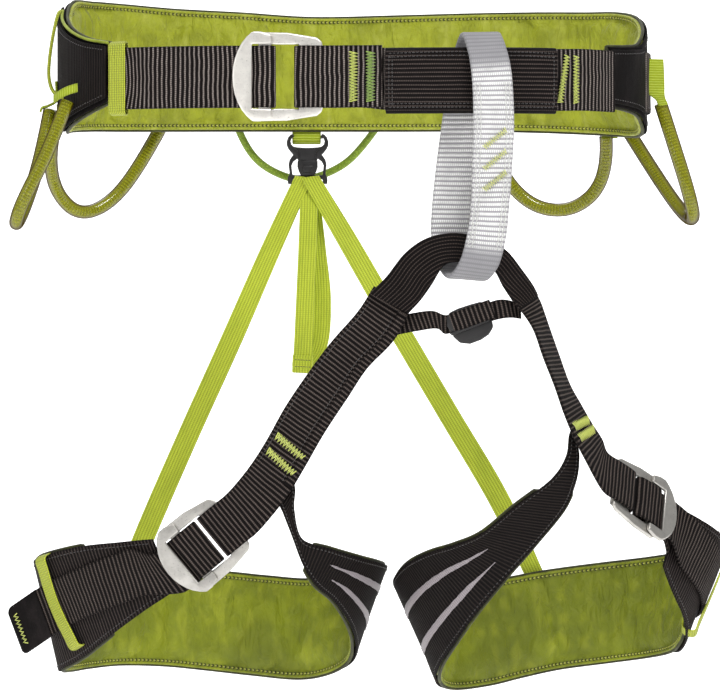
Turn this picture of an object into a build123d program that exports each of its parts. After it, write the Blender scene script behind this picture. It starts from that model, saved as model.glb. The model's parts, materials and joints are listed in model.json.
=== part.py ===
from build123d import *
import math
import os

# Light climbing sit harness: waist belt, two leg loops, belay loop, gear loops.
# Millimetres. X to the wearer's left, Y to the wearer's back, Z up.
# Origin: centre of the waist opening, at half the height of the belt.

# ---- driving dimensions -------------------------------------------------
WEB_T = 2.0            # load webbing thickness
WAIST_WEB_W = 40.0     # waist webbing width
LEG_WEB_W = 32.0       # leg loop webbing width
PAD_T = 6.0            # waist pad, foam and lining
LEG_PAD_T = 5.0        # leg pad, foam and lining
SHELL_T = 1.4          # outer fabric shells
GAP = 0.35             # gap between layers that lie on each other
BELAY_T = 3.2          # belay loop webbing thickness
BRIDGE_T = 4.0         # sleeved leg bridge thickness
SLEEVE_WALL = 1.5      # tie-in sleeve wall
RISER_T = 1.5          # elastic riser thickness
TUBE_R = 4.6           # gear loop tube outer radius
HAUL_R = 2.6           # haul loop cord radius
PLATE_T = 2.8          # buckle plates
BUCKLE_LEVEL = 1.75    # height of the upper buckle plate's underside above the lower plate's middle
STITCH_T = 0.8         # bar tack height
ELASTIC_T = 1.0        # keepers and small elastic loops

# waist belt centreline in plan with its lower and upper edge: x, y, z_low, z_high
BELT = [
    (-157.0, -64.0, -21.0, 16.6),
    (-172.0, -48.0, -27.5, 20.3),
    (-184.0, -26.0, -33.5, 28.0),
    (-190.0, -2.0, -38.0, 38.0),
    (-188.0, 24.0, -36.0, 50.0),
    (-177.0, 46.0, -34.4, 51.4),
    (-156.0, 62.0, -33.7, 50.8),
    (-122.0, 74.0, -33.1, 48.6),
    (-78.0, 81.0, -32.7, 46.7),
    (-29.0, 84.0, -32.6, 43.8),
    (29.0, 84.0, -32.6, 44.9),
    (78.0, 81.0, -32.7, 46.0),
    (122.0, 74.0, -33.8, 46.2),
    (156.0, 62.0, -35.7, 45.3),
    (177.0, 46.0, -37.8, 44.1),
    (188.0, 24.0, -39.5, 39.2),
    (190.0, -2.0, -37.0, 29.0),
    (185.0, -24.0, -28.5, 18.5),
    (176.0, -42.0, -25.5, 15.8),
    (163.0, -57.0, -23.7, 14.9),
]

# ribbons are listed edge to edge: x, y, z of the first edge, x, y, z of the second
BELAY = [
    (72.4, -118.0, 7.6, 97.4, -118.0, 8.9),
    (74.3, -121.5, -4.1, 99.9, -121.5, -2.8),
    (75.5, -124.0, -22.1, 101.4, -124.0, -22.1),
    (75.5, -126.0, -44.0, 101.7, -126.0, -44.0),
    (74.8, -126.0, -68.2, 100.4, -126.0, -68.2),
    (74.2, -125.0, -89.9, 98.8, -125.0, -89.9),
    (71.7, -124.0, -109.7, 96.6, -124.0, -111.6),
    (66.7, -120.0, -126.9, 91.6, -120.0, -130.1),
    (59.2, -108.0, -135.7, 84.3, -108.0, -137.6),
    (52.3, -95.0, -126.4, 77.5, -95.0, -127.7),
    (49.2, -91.0, -109.6, 74.4, -91.0, -109.6),
    (49.5, -89.0, -94.1, 74.7, -89.0, -94.1),
    (51.1, -88.0, -76.6, 76.3, -88.0, -76.6),
    (53.7, -88.0, -54.0, 78.9, -88.0, -54.0),
    (56.9, -89.0, -31.4, 82.1, -89.0, -31.4),
    (60.1, -89.5, -8.8, 85.3, -89.5, -8.8),
    (64.0, -92.0, 9.4, 89.1, -92.0, 10.0),
    (68.2, -105.5, 19.6, 93.3, -105.5, 19.9),
]
BRIDGE = [
    (9.7, -103.0, -146.5, 34.8, -104.0, -159.4),
    (20.0, -106.0, -136.3, 41.9, -107.0, -151.7),
    (32.2, -108.0, -120.9, 48.9, -109.0, -142.1),
    (46.4, -108.5, -111.2, 57.3, -109.0, -129.2),
    (61.1, -108.5, -108.0, 65.6, -109.0, -126.7),
    (74.6, -108.5, -109.3, 74.6, -109.0, -127.3),
    (86.8, -108.0, -113.2, 82.3, -109.0, -129.2),
    (97.2, -107.0, -118.9, 89.4, -109.0, -132.5),
    (106.9, -103.0, -130.4, 95.2, -108.0, -142.7),
    (114.9, -96.0, -141.9, 101.6, -108.0, -151.7),
    (117.8, -92.0, -148.0, 105.0, -109.0, -156.5),
]
STRAP_R = [
    (12.3, -99.0, -142.0, 36.8, -100.0, -155.5),
    (2.0, -99.0, -158.1, 25.9, -100.0, -176.1),
    (-15.4, -96.0, -178.1, 7.8, -97.0, -195.5),
    (-29.0, -93.0, -196.2, -4.6, -94.0, -214.2),
    (-45.2, -88.0, -220.1, -20.0, -89.0, -237.6),
    (-57.6, -84.0, -242.2, -33.0, -85.0, -260.3),
    (-68.5, -81.5, -259.0, -44.5, -82.0, -279.0),
]
STRAP_L = [
    (108.7, -107.0, -160.2, 120.5, -86.0, -153.5),
    (115.1, -109.0, -170.4, 125.8, -84.0, -169.0),
    (121.6, -108.0, -188.4, 132.3, -82.0, -187.1),
    (128.7, -107.0, -206.4, 138.9, -82.0, -205.3),
    (134.6, -107.0, -223.8, 146.1, -82.0, -218.2),
    (140.7, -107.0, -238.6, 153.0, -82.0, -230.2),
    (148.5, -105.0, -254.0, 160.0, -80.5, -241.0),
]
LEG_R = [
    (-39.0, -78.5, -271.3, -48.5, -78.0, -285.6),
    (-39.5, -77.5, -287.0, -43.3, -77.0, -298.7),
    (-35.7, -73.0, -305.4, -37.6, -73.0, -317.1),
    (-16.3, -64.0, -312.4, -28.0, -66.0, -335.2),
    (2.0, -46.0, -318.5, -15.7, -49.0, -347.2),
    (13.9, -24.0, -322.8, -6.6, -30.0, -362.8),
    (18.0, 0.0, -326.0, -2.7, -6.0, -378.3),
    (12.0, 20.0, -330.3, -5.4, 17.0, -391.9),
    (-6.8, 36.0, -335.2, -18.3, 34.0, -401.1),
    (-31.9, 45.0, -339.0, -38.6, 44.0, -405.3),
    (-60.4, 50.0, -337.2, -69.9, 50.0, -403.0),
    (-87.6, 51.0, -334.6, -100.4, 51.0, -399.7),
    (-118.6, 48.0, -333.1, -128.8, 48.0, -396.7),
    (-148.8, 41.0, -332.1, -157.5, 41.0, -395.6),
    (-175.1, 29.0, -330.1, -177.1, 29.0, -396.7),
    (-198.8, 12.0, -327.3, -189.4, 11.0, -397.5),
    (-209.4, -9.0, -323.6, -192.8, -8.0, -395.4),
    (-203.7, -34.0, -317.8, -177.5, -30.0, -385.3),
    (-177.4, -54.0, -310.9, -157.9, -51.0, -369.4),
    (-150.6, -66.0, -307.8, -136.3, -64.0, -352.9),
    (-131.0, -71.0, -306.0, -117.0, -71.0, -340.0),
]
LEG_L = [
    (138.2, -99.0, -238.0, 143.6, -93.0, -240.6),
    (135.6, -94.0, -251.2, 144.6, -89.0, -251.5),
    (126.0, -87.0, -265.8, 143.0, -84.0, -267.0),
    (105.0, -79.0, -282.4, 136.0, -78.0, -285.6),
    (82.7, -71.0, -301.1, 117.9, -71.0, -308.9),
    (65.3, -62.0, -309.3, 99.2, -63.0, -331.4),
    (49.2, -50.0, -315.0, 82.5, -53.0, -352.9),
    (35.6, -33.0, -323.1, 68.5, -38.0, -374.2),
    (28.6, -9.0, -334.2, 58.4, -15.0, -392.9),
    (33.4, 15.0, -342.8, 58.1, 8.0, -405.3),
    (50.5, 32.0, -345.1, 67.9, 28.0, -410.8),
    (74.3, 42.0, -342.9, 91.1, 40.0, -409.0),
    (98.8, 48.0, -339.2, 113.7, 47.0, -404.1),
    (128.1, 51.0, -333.9, 138.9, 51.0, -399.0),
    (162.5, 49.0, -329.1, 169.3, 49.0, -394.8),
    (195.9, 41.0, -324.6, 194.5, 41.0, -390.8),
    (220.4, 25.0, -319.8, 209.7, 25.0, -386.4),
    (235.7, 5.0, -315.6, 215.1, 6.0, -380.4),
    (240.9, -14.0, -312.0, 218.4, -13.0, -367.8),
    (238.0, -32.0, -303.0, 215.6, -34.0, -350.3),
    (225.0, -43.0, -294.0, 207.5, -51.0, -333.0),
    (211.5, -49.0, -287.0, 201.0, -63.0, -320.0),
]
RISER_R = [
    (-44.0, 88.5, -69.5, -31.7, 88.5, -71.6),
    (-63.8, 83.5, -111.5, -50.8, 83.5, -115.6),
    (-91.0, 74.0, -173.2, -77.3, 74.0, -178.0),
    (-119.3, 64.0, -236.6, -105.7, 64.0, -241.3),
    (-146.3, 54.5, -299.0, -132.7, 54.5, -303.7),
    (-160.9, 48.8, -335.4, -146.7, 52.8, -336.7),
]
RISER_L = [
    (-33.7, 86.0, -71.6, -21.4, 86.0, -69.5),
    (-11.8, 82.0, -110.8, 1.2, 82.0, -106.0),
    (21.7, 75.0, -169.8, 34.7, 75.0, -163.6),
    (57.8, 68.0, -231.1, 70.8, 68.0, -225.0),
    (91.7, 62.0, -288.8, 104.7, 62.0, -282.7),
    (116.1, 58.5, -338.5, 129.0, 58.5, -336.5),
]
RISER_TAIL = [
    (-37.8, 83.4, -71.0, -25.5, 83.4, -71.7),
    (-38.5, 81.6, -101.2, -26.2, 81.6, -101.2),
    (-40.5, 81.0, -149.2, -28.2, 81.0, -149.2),
    (-42.2, 81.0, -184.8, -28.9, 81.0, -185.5),
    (-43.0, 84.0, -195.1, -29.3, 84.0, -195.8),
    (-37.9, 89.0, -191.7, -24.2, 89.0, -191.0),
    (-32.4, 91.5, -180.7, -18.7, 91.5, -179.3),
    (-30.4, 92.5, -149.1, -16.6, 92.5, -148.4),
    (-32.4, 92.0, -114.7, -20.1, 92.0, -114.1),
    (-35.1, 91.5, -83.9, -23.5, 91.5, -83.9),
]
CROSS_R = [
    (20.8, -95.0, -163.0, 19.5, -95.0, -175.0),
    (36.5, -97.3, -159.5, 40.5, -97.3, -171.0),
    (50.9, -103.0, -158.1, 53.5, -102.0, -169.7),
    (58.0, -103.5, -160.7, 58.0, -103.5, -172.9),
]
CROSS_L = [
    (92.5, -104.5, -150.8, 94.8, -104.5, -163.0),
    (98.5, -102.5, -151.0, 101.0, -102.0, -162.5),
    (106.5, -98.5, -153.5, 107.0, -97.5, -163.2),
]
LOCK_PLACE = ((75.5, -106.5, -161.2), (0.94, -0.03, 0.34))   # ladder lock centre and long axis

GEAR = {
    "gear_loop_front_right_tube": [(-189.0, -44.5, -20.0), (-200.4, -50.0, -52.0), (-218.4, -54.0, -87.0), (-223.8, -45.0, -103.0), (-219.0, -33.0, -93.0), (-208.5, -18.0, -58.0), (-203.0, -6.0, -24.0)],
    "gear_loop_rear_right_tube": [(-202.5, 22.0, -38.0), (-206.5, 36.0, -54.0), (-203.0, 52.0, -77.0), (-188.0, 64.0, -92.0), (-168.0, 75.0, -84.0), (-149.0, 84.0, -60.0), (-134.0, 87.0, -32.0)],
    "gear_loop_front_left_tube": [(203.5, -6.0, -20.0), (211.5, -14.0, -47.0), (222.0, -16.0, -81.0), (226.0, -5.0, -98.0), (219.0, 11.0, -92.0), (203.0, 34.0, -66.0), (187.0, 57.0, -37.0)],
    "gear_loop_rear_left_tube": [(171.0, 68.5, -38.0), (172.5, 76.0, -56.0), (164.0, 84.0, -78.0), (144.0, 92.0, -89.0), (120.0, 96.0, -84.0), (100.0, 98.0, -62.0), (87.0, 94.0, -32.0)],
}
HAUL = [(-81.0, 95.5, -30.0), (-75.0, 99.0, -45.0), (-61.0, 103.0, -59.0), (-38.0, 106.0, -67.5), (-14.0, 104.0, -60.0), (2.0, 100.0, -48.0), (15.0, 95.5, -30.0)]

# buckles: centre, direction from the curved end to the far bar, face normal, length factor, half of the webbing's width
BUCKLES = {
    "waist": ((-49.6, -100.0, -7.1), (1.0, 0.0, 0.0), (0.0, -1.0, 0.0), 1.0, 20.0),
    "right": ((-100.3, -77.0, -311.3), (0.774, 0.0, 0.635), (0.0, -1.0, 0.0), 0.92, 16.0),
    "left": ((187.3, -74.0, -281.7), (-0.735, -0.459, 0.499), (0.667, -0.611, 0.420), 0.92, 16.0),
}


# ---- helpers --------------------------------------------------------------
def add(a, b, k=1.0):
    return tuple(a[i] + b[i] * k for i in range(3))


def sub(a, b):
    return tuple(a[i] - b[i] for i in range(3))


def mul(a, k):
    return tuple(x * k for x in a)


def dot(a, b):
    return sum(a[i] * b[i] for i in range(3))


def cross(a, b):
    return (a[1] * b[2] - a[2] * b[1], a[2] * b[0] - a[0] * b[2], a[0] * b[1] - a[1] * b[0])


def unit(a):
    n = math.sqrt(dot(a, a))
    return mul(a, 1.0 / n)


def spline(rows, s, closed=False):
    """Point of the curve through rows at s, counted in rows."""
    n = len(rows)
    if closed:
        i = int(math.floor(s))
        f = s - i
        p = [rows[(i + k) % n] for k in (-1, 0, 1, 2)]
    else:
        s = max(0.0, min(n - 1.0, s))
        i = min(int(s), n - 2)
        f = s - i
        p = [rows[max(0, i - 1)], rows[i], rows[i + 1], rows[min(n - 1, i + 2)]]
        if i == 0:
            p[0] = tuple(2 * a - b for a, b in zip(rows[0], rows[1]))
        if i + 2 > n - 1:
            p[3] = tuple(2 * a - b for a, b in zip(rows[-1], rows[-2]))
    out = []
    for a, b, c, d in zip(*p):
        out.append(0.5 * (2 * b + (c - a) * f + (2 * a - 5 * b + 4 * c - d) * f * f + (3 * b - a - 3 * c + d) * f ** 3))
    return tuple(out)


def sample(rows, s0, s1, steps, closed=False):
    return [spline(rows, s0 + (s1 - s0) * i / steps, closed) for i in range(steps + 1)]


def frames(rows, closed=False):
    """Edge points and the normal at each station."""
    n = len(rows)
    out = []
    mids = [mul(add(r[:3], r[3:]), 0.5) for r in rows]
    for i, r in enumerate(rows):
        a, b = r[:3], r[3:]
        if closed:
            t = sub(mids[(i + 1) % n], mids[i - 1])
        else:
            t = sub(mids[min(i + 1, n - 1)], mids[max(i - 1, 0)])
        t = unit(t)
        w = unit(sub(b, a))
        out.append((a, b, unit(cross(t, w))))
    return out


def triangles(faces):
    made = []
    for tri in faces:
        made.append(Face(Wire.make_polygon([Vector(*p) for p in tri], close=True)))
    solid = Solid(Shell(made))
    if solid.volume < 0:
        solid = Solid(Shell([Face(Wire.make_polygon([Vector(*p) for p in reversed(tri)], close=True)) for tri in faces]))
    return solid


def quads(p, q):
    """The four walls between two stations, both broad faces split along the same diagonal."""
    return [
        (p[0], p[1], q[1]), (p[0], q[1], q[0]),
        (p[1], p[2], q[2]), (p[1], q[2], q[1]),
        (p[2], p[3], q[2]), (p[3], q[3], q[2]),
        (p[3], p[0], q[0]), (p[3], q[0], q[3]),
    ]


def ribbon(rows, t, shift=0.0, closed=False, inset=0.0):
    """A flat strip of thickness t. shift moves it along its normal; inset narrows it at both edges."""
    st = []
    for a, b, n in frames(rows, closed):
        w = unit(sub(b, a))
        a2, b2 = add(a, w, inset), add(b, w, -inset)
        st.append([add(a2, n, shift - t / 2), add(b2, n, shift - t / 2), add(b2, n, shift + t / 2), add(a2, n, shift + t / 2)])
    faces = []
    m = len(st)
    for i in range(m if closed else m - 1):
        p, q = st[i], st[(i + 1) % m]
        faces += quads(p, q)
    if not closed:
        a, b = st[0], st[-1]
        faces += [(a[0], a[2], a[1]), (a[0], a[3], a[2]), (b[0], b[1], b[2]), (b[0], b[2], b[3])]
    return triangles(faces)


def strip(fr, i0, i1, t, shift=0.0):
    """A ribbon from ready-made frames, so that layers on one surface stay parallel."""
    st = []
    for a, b, n in fr[i0:i1 + 1]:
        st.append([add(a, n, shift - t / 2), add(b, n, shift - t / 2), add(b, n, shift + t / 2), add(a, n, shift + t / 2)])
    faces = []
    for p, q in zip(st, st[1:]):
        faces += quads(p, q)
    a, b = st[0], st[-1]
    faces += [(a[0], a[2], a[1]), (a[0], a[3], a[2]), (b[0], b[1], b[2]), (b[0], b[2], b[3])]
    return triangles(faces)


def narrowed(rows, width, at=0.5):
    """The same strip cut down to a width, its middle at the fraction at across it."""
    out = []
    for r in rows:
        a, b = r[:3], r[3:]
        w = unit(sub(b, a))
        mid = add(a, sub(b, a), at)
        out.append(add(mid, w, -width / 2) + add(mid, w, width / 2))
    return out


def moved(rows, shift):
    out = []
    for (a, b, n) in frames(rows):
        out.append(add(a, n, shift) + add(b, n, shift))
    return out


def vertical(plan, z0, z1):
    return [(x, y, z0, x, y, z1) for x, y in plan]


def tube(points, radius, caps=True):
    path = []
    pts = [Vector(*p) for p in points]
    lim = 1e9
    for i in range(1, len(pts) - 1):
        a, b = pts[i] - pts[i - 1], pts[i + 1] - pts[i]
        turn = math.radians(a.get_angle(b))
        lim = min(lim, 0.45 * min(a.length, b.length) / math.tan(max(turn, 0.02) / 2))
    line = FilletPolyline(*[tuple(p) for p in points], radius=lim)
    w = line.wire() if hasattr(line, "wire") else Wire(line.edges())
    t = (pts[1] - pts[0]).normalized()
    body = sweep(Plane(origin=pts[0], z_dir=t) * Circle(radius), path=w)
    body = body.solid() if hasattr(body, "solid") else body
    if caps:
        body = body.fuse(Pos(*points[0]) * Sphere(radius))
        body = body.fuse(Pos(*points[-1]) * Sphere(radius))
    return body


def plane_of(name):
    c, u, n, k, h = BUCKLES[name]
    return Plane(origin=c, x_dir=unit(u), z_dir=unit(n))


def local(name, u, v, n):
    p = plane_of(name)
    q = p.origin + p.x_dir * u + p.y_dir * v + p.z_dir * n
    return (q.X, q.Y, q.Z)


def over_buckle(name, stations, half=None, flip=False):
    """Strip stations given as (u, n) in a buckle's own plane."""
    k, h = BUCKLES[name][3], half or BUCKLES[name][4]
    s = -1 if flip else 1
    return [local(name, u * k, -s * h, n) + local(name, u * k, s * h, n) for u, n in stations]


def plate(name, outline, n0, n1):
    k = BUCKLES[name][3]
    pts = [(u * k, v) for u, v in outline]
    face = make_face(Polyline(*pts, close=True))
    part = extrude(Plane(origin=(0, 0, n0)) * face, n1 - n0)
    return plane_of(name).location * part


def buckle_frame(name):
    h = BUCKLES[name][4]
    i, o, f = h + 0.8, h + 8.6, h + 4.6
    outer = plate(name, [(-10.6, -o), (6, -o + 0.3), (25, -f - 0.6), (28.2, -f + 2), (29.2, -f + 6), (29.2, f - 6), (28.2, f - 2), (25, f + 0.6), (6, o - 0.3), (-10.6, o), (-12.6, o - 2), (-12.6, -o + 2)], -PLATE_T / 2, PLATE_T / 2)
    hole = plate(name, [(-4.5, -i), (13.5, -i), (13.5, i), (-4.5, i)], -5, 5)
    return outer - hole


def buckle_slider(name):
    h = BUCKLES[name][4]
    i, o = h + 0.8, h + 8.9
    pts = []
    for j in range(13):
        a = math.radians(-62 + 124 * j / 12)
        pts.append((-16.2 - 13.3 * (math.cos(a) - math.cos(math.radians(62))) / (1 - math.cos(math.radians(62))), o * math.sin(a) / math.sin(math.radians(62))))
    outline = pts + [(-11.0, o), (-4.0, o - 2.2), (-4.0, i), (-16.8, i), (-16.8, -i), (-4.0, -i), (-4.0, -o + 2.2), (-11.0, -o)]
    return plate(name, outline, BUCKLE_LEVEL, BUCKLE_LEVEL + PLATE_T)


def box_at(origin, x_dir, z_dir, size, shift=(0, 0, 0)):
    p = Plane(origin=origin, x_dir=x_dir, z_dir=z_dir)
    return p.location * (Pos(*shift) * Box(*size))


def save(name, shape):
    os.makedirs("parts", exist_ok=True)
    export_step(shape, "parts/" + name + ".step")


def group(shapes):
    return Compound(children=list(shapes))


os.makedirs("parts", exist_ok=True)

# ---- waist belt -----------------------------------------------------------
belt_rows = [(x, y, lo, x, y, hi) for x, y, lo, hi in BELT]
belt_fine = sample(belt_rows, 0, len(BELT) - 1, 2 * (len(BELT) - 1))
shell_off = -(PAD_T / 2 + GAP + SHELL_T / 2)
band_off = shell_off - SHELL_T / 2 - GAP - 1.0
save("belt_pad", ribbon(belt_fine, PAD_T))
save("belt_outer_shell", ribbon(belt_fine, SHELL_T, shift=shell_off))
rear = sample(belt_rows, 1.2, len(BELT) - 2.2, 32)
save("waist_webbing_rear", ribbon([(r[0], r[1], -26.0, r[3], r[4], 14.0) for r in rear], 1.8, shift=band_off))
end_r = sample(belt_rows, 0.0, 1.1, 4)
save("belt_end_right", ribbon([(r[0], r[1], r[2] + 2, r[3], r[4], r[5] - 2) for r in end_r], 1.8, shift=band_off))
end_l = sample(belt_rows, len(BELT) - 2.1, len(BELT) - 1, 4)
save("belt_end_left", ribbon([(r[0], r[1], r[2] + 2, r[3], r[4], r[5] - 2) for r in end_l], 1.8, shift=band_off))

# adjusting webbing: from the right belt end, round the near bar and back as the tail
Z0, Z1 = -7.1 - WAIST_WEB_W / 2, -7.1 + WAIST_WEB_W / 2
under = [(-157.5, -71.5), (-148.0, -78.0), (-134.0, -84.5), (-118.0, -90.0), (-100.0, -94.6), (-84.0, -96.6)]
tail = [(-84.0, -100.1), (-100.6, -98.1), (-119.0, -93.5), (-135.5, -88.0), (-149.8, -81.3), (-157.0, -76.5)]
path = vertical(under, Z0, Z1)
path += over_buckle("waist", [(-27, -3.2), (-5.2, -3.2), (-3.2, -2.4), (-2.3, 0.0), (-3.2, 2.3), (-5.2, 2.9), (-12.5, 2.9), (-15.3, 0.5), (-19, 0.1), (-29, 0.1)])
path += vertical(tail, Z0, Z1)
save("waist_adjust_webbing", ribbon(path, WEB_T))
save("waist_keeper", group([
    ribbon(vertical([(-160.0, -76.9), (-154.4, -80.6), (-149.0, -83.9)], -30.5, 16.5), ELASTIC_T),
    ribbon(vertical([(-155.6, -70.3), (-151.5, -73.3), (-147.2, -76.3)], -30.5, 16.5), ELASTIC_T),
]))

# fixed webbing: sewn return, round the far bar, through the sleeve to the left belt end
inner = [(-10.0, -98.6), (5.0, -100.8), (19.0, -103.2), (35.0, -105.6), (55.0, -107.0), (75.0, -107.6), (100.0, -106.4), (118.0, -103.6), (133.0, -98.8), (147.0, -91.4), (158.0, -82.6), (168.5, -71.0)]
top = [(17.5, -106.7), (3.0, -105.2), (-12.0, -103.7)]
dips = [0, 0, -1.5, -2.5, -3, -3, -3, -2.5, -2, -1.5, -1.5, -1.5]
path = vertical(top, Z0, Z1)
path += over_buckle("waist", [(27, 2.9), (14.6, 2.9), (12.4, 2.4), (11.4, 0.0), (12.4, -2.4), (14.6, -2.9), (28, -2.9)])
path += [(x, y, Z0 + d, x, y, Z1 + d) for (x, y), d in zip(inner, dips)]
save("waist_fixed_webbing", ribbon(path, WEB_T))

slv = [(x, y) for x, y in inner if 18 < x < 134]
slv[0], slv[-1] = (20.2, -103.4), (129.0, -100.3)
outer_tube = ribbon(vertical(slv, -31.2, 11.4), WEB_T + 2 * (GAP + SLEEVE_WALL))
inner_tube = ribbon(vertical([(18.0, -103.05)] + slv[1:-1] + [(132.0, -99.2)], -30.8, 11.0), WEB_T + 2 * GAP + 0.3)
save("tie_in_sleeve", outer_tube - inner_tube)
back = [(r[0], r[1], -29.5, r[0], r[1], 9.4 + 1.2 * math.sin(math.pi * i / (len(slv) - 1))) for i, r in enumerate(slv)]
save("tie_in_backing", ribbon(back, 1.6, shift=WEB_T / 2 + GAP + SLEEVE_WALL + GAP + 0.8))
tacks = []
for x, y, tilt in ((-0.5, -104.85, 0.10), (11.4, -106.05, 0.10)):
    tacks.append(box_at((x, y - WEB_T / 2 - STITCH_T / 2 - 0.05, -7.0), (1, -0.10, 0), (0, 0, 1), (5.2, STITCH_T, 31.0)))
for x, y, d in ((134.5, -98.05, (1, 0.53, 0)), (142.5, -93.8, (1, 0.53, 0))):
    n = unit((d[1], -1.0, 0))
    c = add((x, y, -9.5), n, WEB_T / 2 + STITCH_T / 2 + 0.35)
    tacks.append(box_at(c, d, (0, 0, 1), (5.0, STITCH_T, 30.0)))
save("waist_bartacks", group(tacks))
save("waist_buckle_frame", buckle_frame("waist"))
save("waist_buckle_slider", buckle_slider("waist"))

# ---- belay loop, bridge and cross strap ------------------------------------
belay = sample(BELAY, 0, len(BELAY), 2 * len(BELAY), True)[:-1]
save("belay_loop", ribbon(belay, BELAY_T, closed=True))
tack_rows = []
for lo, hi in ((-55.0, -46.0), (-68.5, -59.5), (-82.0, -73.0)):
    tack_rows.append(ribbon([(83.5, 0.0, lo, 82.0, 0.0, lo + 4.0), (96.5, 0.0, hi, 95.0, 0.0, hi + 4.0)], STITCH_T))
tack_rows = [Pos(0, -126.0 - BELAY_T / 2 - STITCH_T / 2 - 0.3, 0) * t for t in tack_rows]
save("belay_bartacks", group(tack_rows))
bridge = sample(BRIDGE, 0, len(BRIDGE) - 1, 2 * (len(BRIDGE) - 1))
save("bridge_sleeve", ribbon(bridge, BRIDGE_T))
save("cross_strap_right", ribbon(sample(CROSS_R, 0, 3, 6), 1.6))
save("cross_strap_left", ribbon(sample(CROSS_L, 0, 2, 4), 1.6))
lock_c, lock_u = LOCK_PLACE
lock_p = Plane(origin=lock_c, x_dir=unit(lock_u), z_dir=(0, -1, 0))
lock = Box(34, 19, 3.0) - Pos(-11.5, 0, 0) * Box(5.0, 13.6, 6) - Pos(0, 0, 0) * Box(5.0, 13.6, 6) - Pos(11.5, 0, 0) * Box(5.0, 13.6, 6)
lock = fillet(lock.edges().filter_by(Axis.Z), 1.2)
save("cross_ladder_lock", lock_p.location * lock)
fold = [(-13.5, -2.6), (-9.5, -2.6)]
loop_rows = []
for u, n in ((-15.5, 2.7), (-8.0, 2.9), (0.0, 3.6), (8.0, 3.4), (15.0, 2.7)):
    loop_rows.append(tuple(add(add(add(lock_c, tuple(lock_p.x_dir), u), tuple(lock_p.y_dir), 6.2), (0, -1, 0), n)) + tuple(add(add(add(lock_c, tuple(lock_p.x_dir), u), tuple(lock_p.y_dir), -6.2), (0, -1, 0), n)))
save("cross_strap_fold", ribbon(loop_rows, 1.6))

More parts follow.
